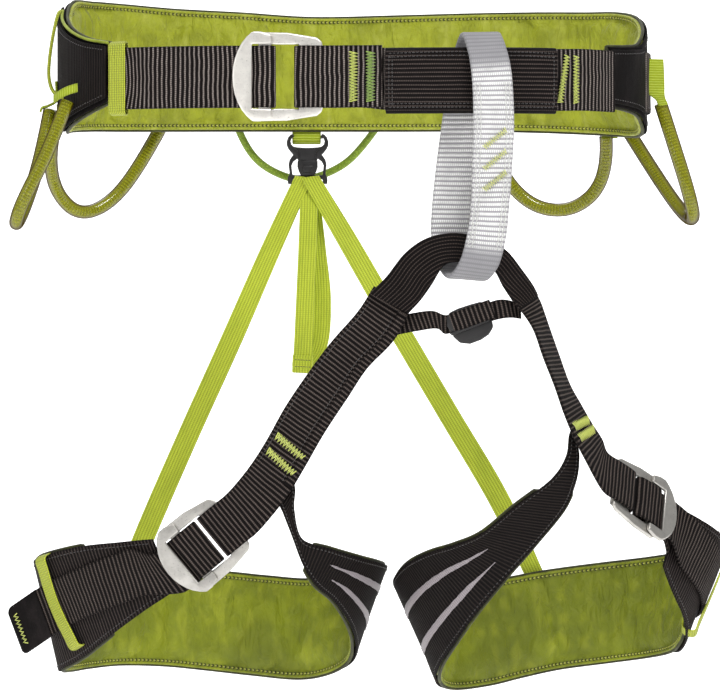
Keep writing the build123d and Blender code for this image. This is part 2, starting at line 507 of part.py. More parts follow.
# ---- leg loops -------------------------------------------------------------
SIDES = {"right": (STRAP_R, LEG_R, -1.0, 2.35, 2.52), "left": (STRAP_L, LEG_L, 1.0, 1.85, 2.22)}
for side, (STRAP, LEG, out, cut_a, cut_b) in SIDES.items():
    n = len(LEG) - 1
    pre = side + "_leg_"
    save(pre + "strap_upper", ribbon(sample(STRAP, 0, cut_a, 6), WEB_T))
    # lower part of the front strap and its wrap round the far bar
    if side == "right":
        turn = over_buckle(side, [(38, 4.2), (27, 2.9), (14.8, 2.9), (12.4, 2.4), (11.4, 0.0), (12.4, -2.4), (14.8, -2.9), (27, -2.9)], flip=True)
    else:
        turn = over_buckle(side, [(40, 2.6), (27, 2.9), (14.8, 2.9), (12.4, 2.4), (11.4, 0.0), (12.4, -2.4), (14.8, -2.9), (27, -2.9)], flip=False)
    rows = sample(STRAP, cut_b, len(STRAP) - 1, 10) + turn
    save(pre + "strap", ribbon(rows, WEB_T))
    # pad with its two shells, split under the seat
    fine = frames(sample(LEG, 0, n, 2 * n))
    so = out * (LEG_PAD_T / 2 + GAP + SHELL_T / 2)
    mid = int(2 * n * 0.44)
    save(pre + "pad", strip(fine, 5, 2 * n - 4, LEG_PAD_T))
    lead = [(add(a, nn, so * f), add(b, nn, so * f), nn) for (a, b, nn), f in zip(fine[:5], (0.0, 0.15, 0.4, 0.7, 0.9))]
    lead += [(add(a, nn, so), add(b, nn, so), nn) for a, b, nn in fine[5:mid]]
    save(pre + "inner_shell", strip(lead, 0, len(lead) - 1, SHELL_T))
    wide = frames(sample(LEG, 0, n, 5 * n))
    save(pre + "outer_shell", strip(fine[mid:2 * n - 2] + wide[5 * n - 6:5 * n - 3], 0, 2 * n - mid, SHELL_T, so))
    # adjusting webbing: from the outer end of the pad, round the near bar and back as the tail
    flip = side == "right"
    start = narrowed(sample(LEG, n - 1.15, n - 0.45, 2), LEG_WEB_W)
    wrap = over_buckle(side, [(-26, -3.2), (-5.2, -3.2), (2.5, -3.0), (6.2, -1.6), (7.2, 0.2), (5.8, 2.0), (1.5, 2.9), (-5.2, 2.9), (-12.5, 2.9), (-15.3, 0.5), (-19, 0.1), (-29, 0.6)], flip=flip)
    back = narrowed(sample(LEG, n - 0.8, n - 3.2, 7), LEG_WEB_W, 0.46)
    back = moved(back, -out * (LEG_PAD_T / 2 + 2 * GAP + SHELL_T + 1.6))
    last = back[-1]
    step = sub(mul(add(back[-1][:3], back[-1][3:]), 0.5), mul(add(back[-2][:3], back[-2][3:]), 0.5))
    step = unit((step[0], step[1] * 0.35, step[2] - 1.0))
    back += [tuple(add(last[:3], step, d)) + tuple(add(last[3:], step, d)) for d in (9.0, 19.0)]
    web = start + wrap + back
    save(pre + "adjust_webbing", ribbon(web, WEB_T))
    k0 = n - 3.05
    band = [add(r[:3], sub(r[3:], r[:3]), 0.02) + add(r[:3], sub(r[3:], r[:3]), 0.88) for r in sample(LEG, k0, k0 + 0.3, 2)]
    save(pre + "keeper", ribbon(band, ELASTIC_T, shift=out * (LEG_PAD_T / 2 + 2 * GAP + SHELL_T + 3.9)))
    tt = [tuple(add(last[:3], step, d)) + tuple(add(last[3:], step, d)) for d in (19.4, 27.0, 33.0)]
    save(pre + "tail_end", ribbon(narrowed(tt, LEG_WEB_W - 2.0), 3.0))
    save(pre + "buckle_frame", buckle_frame(side))
    save(pre + "buckle_slider", buckle_slider(side))
    f = frames(sample(STRAP, 4.55, 5.6, 8))
    tk = []
    sgn = -1.0 if f[0][2][1] > 0 else 1.0
    for i in (1, 5):
        a, b, nn = f[i]
        a2, b2, _ = f[i + 2]
        lift = sgn * (WEB_T / 2 + STITCH_T / 2 + 0.35)
        r0 = add(add(a, sub(b, a), 0.12), nn, lift) + add(add(a, sub(a2, a), 0.55), sub(b, a), 0.12)
        p0, p1 = add(a, sub(b, a), 0.14), add(a, sub(b, a), 0.86)
        d = unit(sub(a2, a))
        tk.append(ribbon([add(p0, nn, lift) + add(add(p0, d, 3.6), nn, lift), add(p1, nn, lift) + add(add(p1, d, 3.6), nn, lift)], STITCH_T))
    save(pre + "bartacks", group(tk))

# ---- risers and their buckle -----------------------------------------------
save("riser_right", ribbon(RISER_R, RISER_T))
save("riser_left", ribbon(RISER_L, RISER_T))
save("riser_tail", ribbon(sample(RISER_TAIL, 0, len(RISER_TAIL) - 1, 18), RISER_T))
body = Pos(-32.6, 86.0, -51.5) * Box(26.0, 6.0, 32.0)
body -= Pos(-32.6, 86.0, -52.6) * Box(14.6, 10.0, 19.8)
body -= Pos(-45.0, 86.0, -52.5) * Box(6.0, 10.0, 12.0)
body -= Pos(-20.2, 86.0, -52.5) * Box(6.0, 10.0, 12.0)
save("riser_buckle_frame", body)
latch = Pos(-32.6, 86.0, -53.2) * Box(13.4, 3.6, 16.8)
latch += Pos(-32.6, 86.0, -45.2) * Rot(0, 90, 0) * Cylinder(1.8, 13.4)
latch += Pos(-32.6, 83.7, -58.5) * Box(9.0, 1.4, 4.0)
save("riser_buckle_latch", latch)
save("rear_tab", Pos(-33.4, 94.2, -24.5) * Box(19.5, 1.6, 20.0) + Pos(-33.4, 90.4, -34.6) * Box(19.5, 9.2, 1.6))
save("riser_tail_end", ribbon([(-43.2, 83.6, -199.2, -29.0, 83.6, -199.9), (-43.6, 84.2, -209.5, -28.6, 84.2, -210.2)], 3.2))

# ---- gear loops and haul loop ------------------------------------------------
for name, pts in GEAR.items():
    save(name, tube(pts, TUBE_R))
tabs = {"gear_loop_tabs_right": [], "gear_loop_tabs_left": []}
for name, pts in GEAR.items():
    for p in (pts[0], pts[-1]):
        best = min(belt_fine, key=lambda r: (r[0] - p[0]) ** 2 + (r[1] - p[1]) ** 2)
        i = belt_fine.index(best)
        t = unit((belt_fine[min(i + 1, len(belt_fine) - 1)][0] - belt_fine[max(i - 1, 0)][0], belt_fine[min(i + 1, len(belt_fine) - 1)][1] - belt_fine[max(i - 1, 0)][1], 0))
        o = (-t[1], t[0], 0)
        c = add(p, (0, 0, TUBE_R + 0.8 + 6.5))
        d = dot(sub(c, (best[0], best[1], 0)), o)
        c = add(c, o, -d + 8.9 if d > 0 else -d - 8.9)
        key = "gear_loop_tabs_right" if p[0] < 0 else "gear_loop_tabs_left"
        tabs[key].append(box_at(c, t, (0, 0, 1), (9.5, 1.6, 13.0)))
for key, shapes in tabs.items():
    save(key, group(shapes))
save("haul_loop", tube(HAUL, HAUL_R))
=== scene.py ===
import bpy
import bmesh
import json
import math
import numpy as np
from mathutils import Vector, Matrix, noise


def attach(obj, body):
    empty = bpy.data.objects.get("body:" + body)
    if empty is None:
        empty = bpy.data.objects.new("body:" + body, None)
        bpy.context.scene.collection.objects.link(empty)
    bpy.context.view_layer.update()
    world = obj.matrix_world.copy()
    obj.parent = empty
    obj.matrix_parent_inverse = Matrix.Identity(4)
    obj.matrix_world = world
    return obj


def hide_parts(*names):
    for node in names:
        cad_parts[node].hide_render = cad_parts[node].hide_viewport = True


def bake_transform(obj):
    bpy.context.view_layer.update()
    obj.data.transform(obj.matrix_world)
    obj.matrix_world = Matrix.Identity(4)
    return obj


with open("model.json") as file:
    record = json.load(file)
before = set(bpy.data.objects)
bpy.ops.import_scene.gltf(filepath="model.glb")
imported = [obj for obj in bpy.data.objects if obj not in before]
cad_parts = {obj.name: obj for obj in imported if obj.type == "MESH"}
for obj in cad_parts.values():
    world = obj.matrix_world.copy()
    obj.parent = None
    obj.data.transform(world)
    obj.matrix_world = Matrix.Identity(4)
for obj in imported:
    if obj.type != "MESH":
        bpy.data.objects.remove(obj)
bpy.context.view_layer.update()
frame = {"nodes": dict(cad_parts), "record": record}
NODE = frame["nodes"]

# ---- camera: level, straight on, a long lens ------------------------------
cam_data = bpy.data.cameras.new("view_camera")
cam_data.sensor_width = 36.0
cam_data.lens = 225.0
cam_data.clip_end = 20.0
cam = bpy.data.objects.new("view_camera", cam_data)
cam.location = (0.0033, -3.0, -0.18)
cam.rotation_euler = (math.radians(90.0), 0.0, 0.0)
bpy.context.scene.collection.objects.link(cam)
bpy.context.scene.camera = cam

# every length in the tables is in millimetres; pieces are made in metres
# ---- driving dimensions -------------------------------------------------
WEB_T = 2.0            # load webbing thickness
WAIST_WEB_W = 40.0     # waist webbing width
LEG_WEB_W = 32.0       # leg loop webbing width
PAD_T = 6.0            # waist pad, foam and lining
LEG_PAD_T = 5.0        # leg pad, foam and lining
SHELL_T = 1.4          # outer fabric shells
GAP = 0.35             # gap between layers that lie on each other
BELAY_T = 3.2          # belay loop webbing thickness
BRIDGE_T = 4.0         # sleeved leg bridge thickness
SLEEVE_WALL = 1.5      # tie-in sleeve wall
RISER_T = 1.5          # elastic riser thickness
TUBE_R = 4.6           # gear loop tube outer radius
HAUL_R = 2.6           # haul loop cord radius
PLATE_T = 2.8          # buckle plates
BUCKLE_LEVEL = 1.75    # height of the upper buckle plate's underside above the lower plate's middle
STITCH_T = 0.8         # bar tack height
ELASTIC_T = 1.0        # keepers and small elastic loops

# waist belt centreline in plan with its lower and upper edge: x, y, z_low, z_high
BELT = [
    (-157.0, -64.0, -21.0, 16.6),
    (-172.0, -48.0, -27.5, 20.3),
    (-184.0, -26.0, -33.5, 28.0),
    (-190.0, -2.0, -38.0, 38.0),
    (-188.0, 24.0, -36.0, 50.0),
    (-177.0, 46.0, -34.4, 51.4),
    (-156.0, 62.0, -33.7, 50.8),
    (-122.0, 74.0, -33.1, 48.6),
    (-78.0, 81.0, -32.7, 46.7),
    (-29.0, 84.0, -32.6, 43.8),
    (29.0, 84.0, -32.6, 44.9),
    (78.0, 81.0, -32.7, 46.0),
    (122.0, 74.0, -33.8, 46.2),
    (156.0, 62.0, -35.7, 45.3),
    (177.0, 46.0, -37.8, 44.1),
    (188.0, 24.0, -39.5, 39.2),
    (190.0, -2.0, -37.0, 29.0),
    (185.0, -24.0, -28.5, 18.5),
    (176.0, -42.0, -25.5, 15.8),
    (163.0, -57.0, -23.7, 14.9),
]

# ribbons are listed edge to edge: x, y, z of the first edge, x, y, z of the second
BELAY = [
    (72.4, -118.0, 7.6, 97.4, -118.0, 8.9),
    (74.3, -121.5, -4.1, 99.9, -121.5, -2.8),
    (75.5, -124.0, -22.1, 101.4, -124.0, -22.1),
    (75.5, -126.0, -44.0, 101.7, -126.0, -44.0),
    (74.8, -126.0, -68.2, 100.4, -126.0, -68.2),
    (74.2, -125.0, -89.9, 98.8, -125.0, -89.9),
    (71.7, -124.0, -109.7, 96.6, -124.0, -111.6),
    (66.7, -120.0, -126.9, 91.6, -120.0, -130.1),
    (59.2, -108.0, -135.7, 84.3, -108.0, -137.6),
    (52.3, -95.0, -126.4, 77.5, -95.0, -127.7),
    (49.2, -91.0, -109.6, 74.4, -91.0, -109.6),
    (49.5, -89.0, -94.1, 74.7, -89.0, -94.1),
    (51.1, -88.0, -76.6, 76.3, -88.0, -76.6),
    (53.7, -88.0, -54.0, 78.9, -88.0, -54.0),
    (56.9, -89.0, -31.4, 82.1, -89.0, -31.4),
    (60.1, -89.5, -8.8, 85.3, -89.5, -8.8),
    (64.0, -92.0, 9.4, 89.1, -92.0, 10.0),
    (68.2, -105.5, 19.6, 93.3, -105.5, 19.9),
]
BRIDGE = [
    (9.7, -103.0, -146.5, 34.8, -104.0, -159.4),
    (20.0, -106.0, -136.3, 41.9, -107.0, -151.7),
    (32.2, -108.0, -120.9, 48.9, -109.0, -142.1),
    (46.4, -108.5, -111.2, 57.3, -109.0, -129.2),
    (61.1, -108.5, -108.0, 65.6, -109.0, -126.7),
    (74.6, -108.5, -109.3, 74.6, -109.0, -127.3),
    (86.8, -108.0, -113.2, 82.3, -109.0, -129.2),
    (97.2, -107.0, -118.9, 89.4, -109.0, -132.5),
    (106.9, -103.0, -130.4, 95.2, -108.0, -142.7),
    (114.9, -96.0, -141.9, 101.6, -108.0, -151.7),
    (117.8, -92.0, -148.0, 105.0, -109.0, -156.5),
]
STRAP_R = [
    (12.3, -99.0, -142.0, 36.8, -100.0, -155.5),
    (2.0, -99.0, -158.1, 25.9, -100.0, -176.1),
    (-15.4, -96.0, -178.1, 7.8, -97.0, -195.5),
    (-29.0, -93.0, -196.2, -4.6, -94.0, -214.2),
    (-45.2, -88.0, -220.1, -20.0, -89.0, -237.6),
    (-57.6, -84.0, -242.2, -33.0, -85.0, -260.3),
    (-68.5, -81.5, -259.0, -44.5, -82.0, -279.0),
]
STRAP_L = [
    (108.7, -107.0, -160.2, 120.5, -86.0, -153.5),
    (115.1, -109.0, -170.4, 125.8, -84.0, -169.0),
    (121.6, -108.0, -188.4, 132.3, -82.0, -187.1),
    (128.7, -107.0, -206.4, 138.9, -82.0, -205.3),
    (134.6, -107.0, -223.8, 146.1, -82.0, -218.2),
    (140.7, -107.0, -238.6, 153.0, -82.0, -230.2),
    (148.5, -105.0, -254.0, 160.0, -80.5, -241.0),
]
LEG_R = [
    (-39.0, -78.5, -271.3, -48.5, -78.0, -285.6),
    (-39.5, -77.5, -287.0, -43.3, -77.0, -298.7),
    (-35.7, -73.0, -305.4, -37.6, -73.0, -317.1),
    (-16.3, -64.0, -312.4, -28.0, -66.0, -335.2),
    (2.0, -46.0, -318.5, -15.7, -49.0, -347.2),
    (13.9, -24.0, -322.8, -6.6, -30.0, -362.8),
    (18.0, 0.0, -326.0, -2.7, -6.0, -378.3),
    (12.0, 20.0, -330.3, -5.4, 17.0, -391.9),
    (-6.8, 36.0, -335.2, -18.3, 34.0, -401.1),
    (-31.9, 45.0, -339.0, -38.6, 44.0, -405.3),
    (-60.4, 50.0, -337.2, -69.9, 50.0, -403.0),
    (-87.6, 51.0, -334.6, -100.4, 51.0, -399.7),
    (-118.6, 48.0, -333.1, -128.8, 48.0, -396.7),
    (-148.8, 41.0, -332.1, -157.5, 41.0, -395.6),
    (-175.1, 29.0, -330.1, -177.1, 29.0, -396.7),
    (-198.8, 12.0, -327.3, -189.4, 11.0, -397.5),
    (-209.4, -9.0, -323.6, -192.8, -8.0, -395.4),
    (-203.7, -34.0, -317.8, -177.5, -30.0, -385.3),
    (-177.4, -54.0, -310.9, -157.9, -51.0, -369.4),
    (-150.6, -66.0, -307.8, -136.3, -64.0, -352.9),
    (-131.0, -71.0, -306.0, -117.0, -71.0, -340.0),
]
LEG_L = [
    (138.2, -99.0, -238.0, 143.6, -93.0, -240.6),
    (135.6, -94.0, -251.2, 144.6, -89.0, -251.5),
    (126.0, -87.0, -265.8, 143.0, -84.0, -267.0),
    (105.0, -79.0, -282.4, 136.0, -78.0, -285.6),
    (82.7, -71.0, -301.1, 117.9, -71.0, -308.9),
    (65.3, -62.0, -309.3, 99.2, -63.0, -331.4),
    (49.2, -50.0, -315.0, 82.5, -53.0, -352.9),
    (35.6, -33.0, -323.1, 68.5, -38.0, -374.2),
    (28.6, -9.0, -334.2, 58.4, -15.0, -392.9),
    (33.4, 15.0, -342.8, 58.1, 8.0, -405.3),
    (50.5, 32.0, -345.1, 67.9, 28.0, -410.8),
    (74.3, 42.0, -342.9, 91.1, 40.0, -409.0),
    (98.8, 48.0, -339.2, 113.7, 47.0, -404.1),
    (128.1, 51.0, -333.9, 138.9, 51.0, -399.0),
    (162.5, 49.0, -329.1, 169.3, 49.0, -394.8),
    (195.9, 41.0, -324.6, 194.5, 41.0, -390.8),
    (220.4, 25.0, -319.8, 209.7, 25.0, -386.4),
    (235.7, 5.0, -315.6, 215.1, 6.0, -380.4),
    (240.9, -14.0, -312.0, 218.4, -13.0, -367.8),
    (238.0, -32.0, -303.0, 215.6, -34.0, -350.3),
    (225.0, -43.0, -294.0, 207.5, -51.0, -333.0),
    (211.5, -49.0, -287.0, 201.0, -63.0, -320.0),
]
RISER_R = [
    (-44.0, 88.5, -69.5, -31.7, 88.5, -71.6),
    (-63.8, 83.5, -111.5, -50.8, 83.5, -115.6),
    (-91.0, 74.0, -173.2, -77.3, 74.0, -178.0),
    (-119.3, 64.0, -236.6, -105.7, 64.0, -241.3),
    (-146.3, 54.5, -299.0, -132.7, 54.5, -303.7),
    (-160.9, 48.8, -335.4, -146.7, 52.8, -336.7),
]
RISER_L = [
    (-33.7, 86.0, -71.6, -21.4, 86.0, -69.5),
    (-11.8, 82.0, -110.8, 1.2, 82.0, -106.0),
    (21.7, 75.0, -169.8, 34.7, 75.0, -163.6),
    (57.8, 68.0, -231.1, 70.8, 68.0, -225.0),
    (91.7, 62.0, -288.8, 104.7, 62.0, -282.7),
    (116.1, 58.5, -338.5, 129.0, 58.5, -336.5),
]
RISER_TAIL = [
    (-37.8, 83.4, -71.0, -25.5, 83.4, -71.7),
    (-38.5, 81.6, -101.2, -26.2, 81.6, -101.2),
    (-40.5, 81.0, -149.2, -28.2, 81.0, -149.2),
    (-42.2, 81.0, -184.8, -28.9, 81.0, -185.5),
    (-43.0, 84.0, -195.1, -29.3, 84.0, -195.8),
    (-37.9, 89.0, -191.7, -24.2, 89.0, -191.0),
    (-32.4, 91.5, -180.7, -18.7, 91.5, -179.3),
    (-30.4, 92.5, -149.1, -16.6, 92.5, -148.4),
    (-32.4, 92.0, -114.7, -20.1, 92.0, -114.1),
    (-35.1, 91.5, -83.9, -23.5, 91.5, -83.9),
]
CROSS_R = [
    (20.8, -95.0, -163.0, 19.5, -95.0, -175.0),
    (36.5, -97.3, -159.5, 40.5, -97.3, -171.0),
    (50.9, -103.0, -158.1, 53.5, -102.0, -169.7),
    (58.0, -103.5, -160.7, 58.0, -103.5, -172.9),
]
CROSS_L = [
    (92.5, -104.5, -150.8, 94.8, -104.5, -163.0),
    (98.5, -102.5, -151.0, 101.0, -102.0, -162.5),
    (106.5, -98.5, -153.5, 107.0, -97.5, -163.2),
]
LOCK_PLACE = ((75.5, -106.5, -161.2), (0.94, -0.03, 0.34))   # ladder lock centre and long axis

GEAR = {
    "gear_loop_front_right_tube": [(-189.0, -44.5, -20.0), (-200.4, -50.0, -52.0), (-218.4, -54.0, -87.0), (-223.8, -45.0, -103.0), (-219.0, -33.0, -93.0), (-208.5, -18.0, -58.0), (-203.0, -6.0, -24.0)],
    "gear_loop_rear_right_tube": [(-202.5, 22.0, -38.0), (-206.5, 36.0, -54.0), (-203.0, 52.0, -77.0), (-188.0, 64.0, -92.0), (-168.0, 75.0, -84.0), (-149.0, 84.0, -60.0), (-134.0, 87.0, -32.0)],
    "gear_loop_front_left_tube": [(203.5, -6.0, -20.0), (211.5, -14.0, -47.0), (222.0, -16.0, -81.0), (226.0, -5.0, -98.0), (219.0, 11.0, -92.0), (203.0, 34.0, -66.0), (187.0, 57.0, -37.0)],
    "gear_loop_rear_left_tube": [(171.0, 68.5, -38.0), (172.5, 76.0, -56.0), (164.0, 84.0, -78.0), (144.0, 92.0, -89.0), (120.0, 96.0, -84.0), (100.0, 98.0, -62.0), (87.0, 94.0, -32.0)],
}
HAUL = [(-81.0, 95.5, -30.0), (-75.0, 99.0, -45.0), (-61.0, 103.0, -59.0), (-38.0, 106.0, -67.5), (-14.0, 104.0, -60.0), (2.0, 100.0, -48.0), (15.0, 95.5, -30.0)]

# buckles: centre, direction from the curved end to the far bar, face normal, length factor, half of the webbing's width
BUCKLES = {
    "waist": ((-49.6, -100.0, -7.1), (1.0, 0.0, 0.0), (0.0, -1.0, 0.0), 1.0, 20.0),
    "right": ((-100.3, -77.0, -311.3), (0.774, 0.0, 0.635), (0.0, -1.0, 0.0), 0.92, 16.0),
    "left": ((187.3, -74.0, -281.7), (-0.735, -0.459, 0.499), (0.667, -0.611, 0.420), 0.92, 16.0),
}


# ---- vectors and strips -----------------------------------------------------
def add(a, b, k=1.0):
    return tuple(a[i] + b[i] * k for i in range(3))


def sub(a, b):
    return tuple(a[i] - b[i] for i in range(3))


def mul(a, k):
    return tuple(x * k for x in a)


def dot(a, b):
    return sum(a[i] * b[i] for i in range(3))


def cross(a, b):
    return (a[1] * b[2] - a[2] * b[1], a[2] * b[0] - a[0] * b[2], a[0] * b[1] - a[1] * b[0])


def unit(a):
    n = math.sqrt(dot(a, a)) or 1.0
    return mul(a, 1.0 / n)


def spline(rows, s, closed=False):
    n = len(rows)
    if closed:
        i = int(math.floor(s))
        f = s - i
        p = [rows[(i + k) % n] for k in (-1, 0, 1, 2)]
    else:
        s = max(0.0, min(n - 1.0, s))
        i = min(int(s), n - 2)
        f = s - i
        p = [rows[max(0, i - 1)], rows[i], rows[i + 1], rows[min(n - 1, i + 2)]]
        if i == 0:
            p[0] = tuple(2 * a - b for a, b in zip(rows[0], rows[1]))
        if i + 2 > n - 1:
            p[3] = tuple(2 * a - b for a, b in zip(rows[-1], rows[-2]))
    out = []
    for a, b, c, d in zip(*p):
        out.append(0.5 * (2 * b + (c - a) * f + (2 * a - 5 * b + 4 * c - d) * f * f + (3 * b - a - 3 * c + d) * f ** 3))
    return tuple(out)


def sample(rows, s0, s1, steps, closed=False):
    return [spline(rows, s0 + (s1 - s0) * i / steps, closed) for i in range(steps + 1)]


def frames(rows, closed=False):
    n = len(rows)
    out = []
    mids = [mul(add(r[:3], r[3:]), 0.5) for r in rows]
    for i, r in enumerate(rows):
        a, b = r[:3], r[3:]
        if closed:
            t = sub(mids[(i + 1) % n], mids[i - 1])
        else:
            t = sub(mids[min(i + 1, n - 1)], mids[max(i - 1, 0)])
        out.append((a, b, unit(cross(unit(t), unit(sub(b, a))))))
    return out


def narrowed(rows, width, at=0.5):
    out = []
    for r in rows:
        a, b = r[:3], r[3:]
        w = unit(sub(b, a))
        mid = add(a, sub(b, a), at)
        out.append(add(mid, w, -width / 2) + add(mid, w, width / 2))
    return out


def moved(rows, shift):
    return [add(a, n, shift) + add(b, n, shift) for a, b, n in frames(rows)]


def vertical(plan, z0, z1):
    return [(x, y, z0, x, y, z1) for x, y in plan]


def local(name, u, v, n):
    c, ud, nd = BUCKLES[name][0], unit(BUCKLES[name][1]), unit(BUCKLES[name][2])
    ud = unit(add(ud, nd, -dot(ud, nd)))
    return add(add(add(c, ud, u), cross(nd, ud), v), nd, n)


def over_buckle(name, stations, flip=False):
    k, h = BUCKLES[name][3], BUCKLES[name][4]
    s = -1 if flip else 1
    return [local(name, u * k, -s * h, n) + local(name, u * k, s * h, n) for u, n in stations]


def smooth(x, a, b):
    t = np.clip((x - a) / (b - a), 0.0, 1.0)
    return t * t * (3 - 2 * t)


class Band:
    """A strip given edge to edge, resampled along a centripetal curve. s runs in mm along its middle."""

    def __init__(self, rows, closed=False, step=1.6, least=3):
        r = np.array(rows, float)
        n = len(r)
        mid = (r[:, :3] + r[:, 3:]) / 2
        out, where = [], []
        segs = n if closed else n - 1
        for i in range(segs):
            if closed:
                idx = [(i - 1) % n, i, (i + 1) % n, (i + 2) % n]
                p = [r[k] for k in idx]
                m = [mid[k] for k in idx]
            else:
                p = [r[i - 1] if i > 0 else 2 * r[0] - r[1], r[i], r[i + 1], r[i + 2] if i + 2 < n else 2 * r[-1] - r[-2]]
                m = [(q[:3] + q[3:]) / 2 for q in p]
            t = [0.0]
            for k in range(3):
                t.append(t[-1] + max(math.sqrt(float(np.linalg.norm(m[k + 1] - m[k]))), 1e-3))
            length = float(np.linalg.norm(m[2] - m[1]))
            steps = max(least, int(math.ceil(length / step)))
            for j in range(steps + (1 if (not closed and i == segs - 1) else 0)):
                x = t[1] + (t[2] - t[1]) * j / steps
                a1 = (t[1] - x) / (t[1] - t[0]) * p[0] + (x - t[0]) / (t[1] - t[0]) * p[1]
                a2 = (t[2] - x) / (t[2] - t[1]) * p[1] + (x - t[1]) / (t[2] - t[1]) * p[2]
                a3 = (t[3] - x) / (t[3] - t[2]) * p[2] + (x - t[2]) / (t[3] - t[2]) * p[3]
                b1 = (t[2] - x) / (t[2] - t[0]) * a1 + (x - t[0]) / (t[2] - t[0]) * a2
                b2 = (t[3] - x) / (t[3] - t[1]) * a2 + (x - t[1]) / (t[3] - t[1]) * a3
                out.append((t[2] - x) / (t[2] - t[1]) * b1 + (x - t[1]) / (t[2] - t[1]) * b2)
                where.append(i + j / steps)
        self.closed = closed
        self.rows = np.array(out)
        self.where = np.array(where)
        self.finish()

    def finish(self):
        r = self.rows
        self.a, self.b = r[:, :3], r[:, 3:]
        mid = (self.a + self.b) / 2
        d = np.linalg.norm(np.diff(mid, axis=0), axis=1)
        self.s = np.concatenate([[0.0], np.cumsum(d)])
        self.length = self.s[-1]
        if self.closed:
            self.length += float(np.linalg.norm(mid[0] - mid[-1]))
            t = np.roll(mid, -1, axis=0) - np.roll(mid, 1, axis=0)
        else:
            t = np.empty_like(mid)
            t[1:-1] = mid[2:] - mid[:-2]
            t[0], t[-1] = mid[1] - mid[0], mid[-1] - mid[-2]
        self.t = t / np.linalg.norm(t, axis=1)[:, None]
        w = self.b - self.a
        self.w_len = np.linalg.norm(w, axis=1)
        self.w = w / self.w_len[:, None]
        n = np.cross(self.t, self.w)
        self.n = n / np.linalg.norm(n, axis=1)[:, None]
        return self

    def cut(self, s0, s1):
        """The same strip between two lengths."""
        keep = (self.s >= s0 - 1e-6) & (self.s <= s1 + 1e-6)
        new = Band.__new__(Band)
        new.closed = False
        new.rows = self.rows[keep]
        new.where = self.where[keep]
        return new.finish()

    def shifted(self, h):
        """A parallel strip, h to the normal's side, keeping the normals' spread."""
        new = Band.__new__(Band)
        new.closed = self.closed
        k = self.n * h
        new.rows = np.concatenate([self.a + k, self.b + k], axis=1)
        new.where = self.where
        return new.finish()

    def trimmed(self, x0, x1):
        """x0 and x1 in mm cut off the two edges (negative widens)."""
        new = Band.__new__(Band)
        new.closed = self.closed
        new.rows = np.concatenate([self.a + self.w * x0, self.b - self.w * x1], axis=1)
        new.where = self.where
        return new.finish()

    def row(self, i):
        """The length s at row i of the table it was made from."""
        return float(np.interp(i, self.where, self.s))

    def at(self, s, f, h=0.0):
        """Point at length s, fraction f across, h above."""
        a = np.array([np.interp(s, self.s, self.a[:, k]) for k in range(3)])
        b = np.array([np.interp(s, self.s, self.b[:, k]) for k in range(3)])
        return a + (b - a) * f + self.normal(s) * h

    def normal(self, s):
        n = np.array([np.interp(s, self.s, self.n[:, k]) for k in range(3)])
        return n / np.linalg.norm(n)

    def along(self, s):
        n = np.array([np.interp(s, self.s, self.t[:, k]) for k in range(3)])
        return n / np.linalg.norm(n)

    def width(self, s):
        return float(np.interp(s, self.s, self.w_len))


def link(name, mesh, mat=None):
    obj = bpy.data.objects.new(name, mesh)
    bpy.context.scene.collection.objects.link(obj)
    if mat is not None:
        mesh.materials.append(mat)
    return obj


def raw_mesh(name, verts_mm, faces, mat, uv=None, attrs=None, sharp=50.0, flat=False):
    """verts in mm; uv per face corner in metres; attrs: name -> one number per vertex."""
    mesh = bpy.data.meshes.new(name)
    v = (np.asarray(verts_mm, float) / 1000.0)
    mesh.from_pydata([tuple(p) for p in v], [], [tuple(int(i) for i in f) for f in faces])
    if uv is not None:
        layer = mesh.uv_layers.new(name="UVMap")
        layer.data.foreach_set("uv", np.asarray(uv, np.float32).ravel())
    for key, values in (attrs or {}).items():
        att = mesh.attributes.new(key, "FLOAT", "POINT")
        att.data.foreach_set("value", np.asarray(values, np.float32).ravel())
    mesh.validate()
    if not flat:
        mesh.polygons.foreach_set("use_smooth", [True] * len(mesh.polygons))
        mesh.set_sharp_from_angle(angle=math.radians(sharp))
    mesh.update()
    return link(name, mesh, mat)


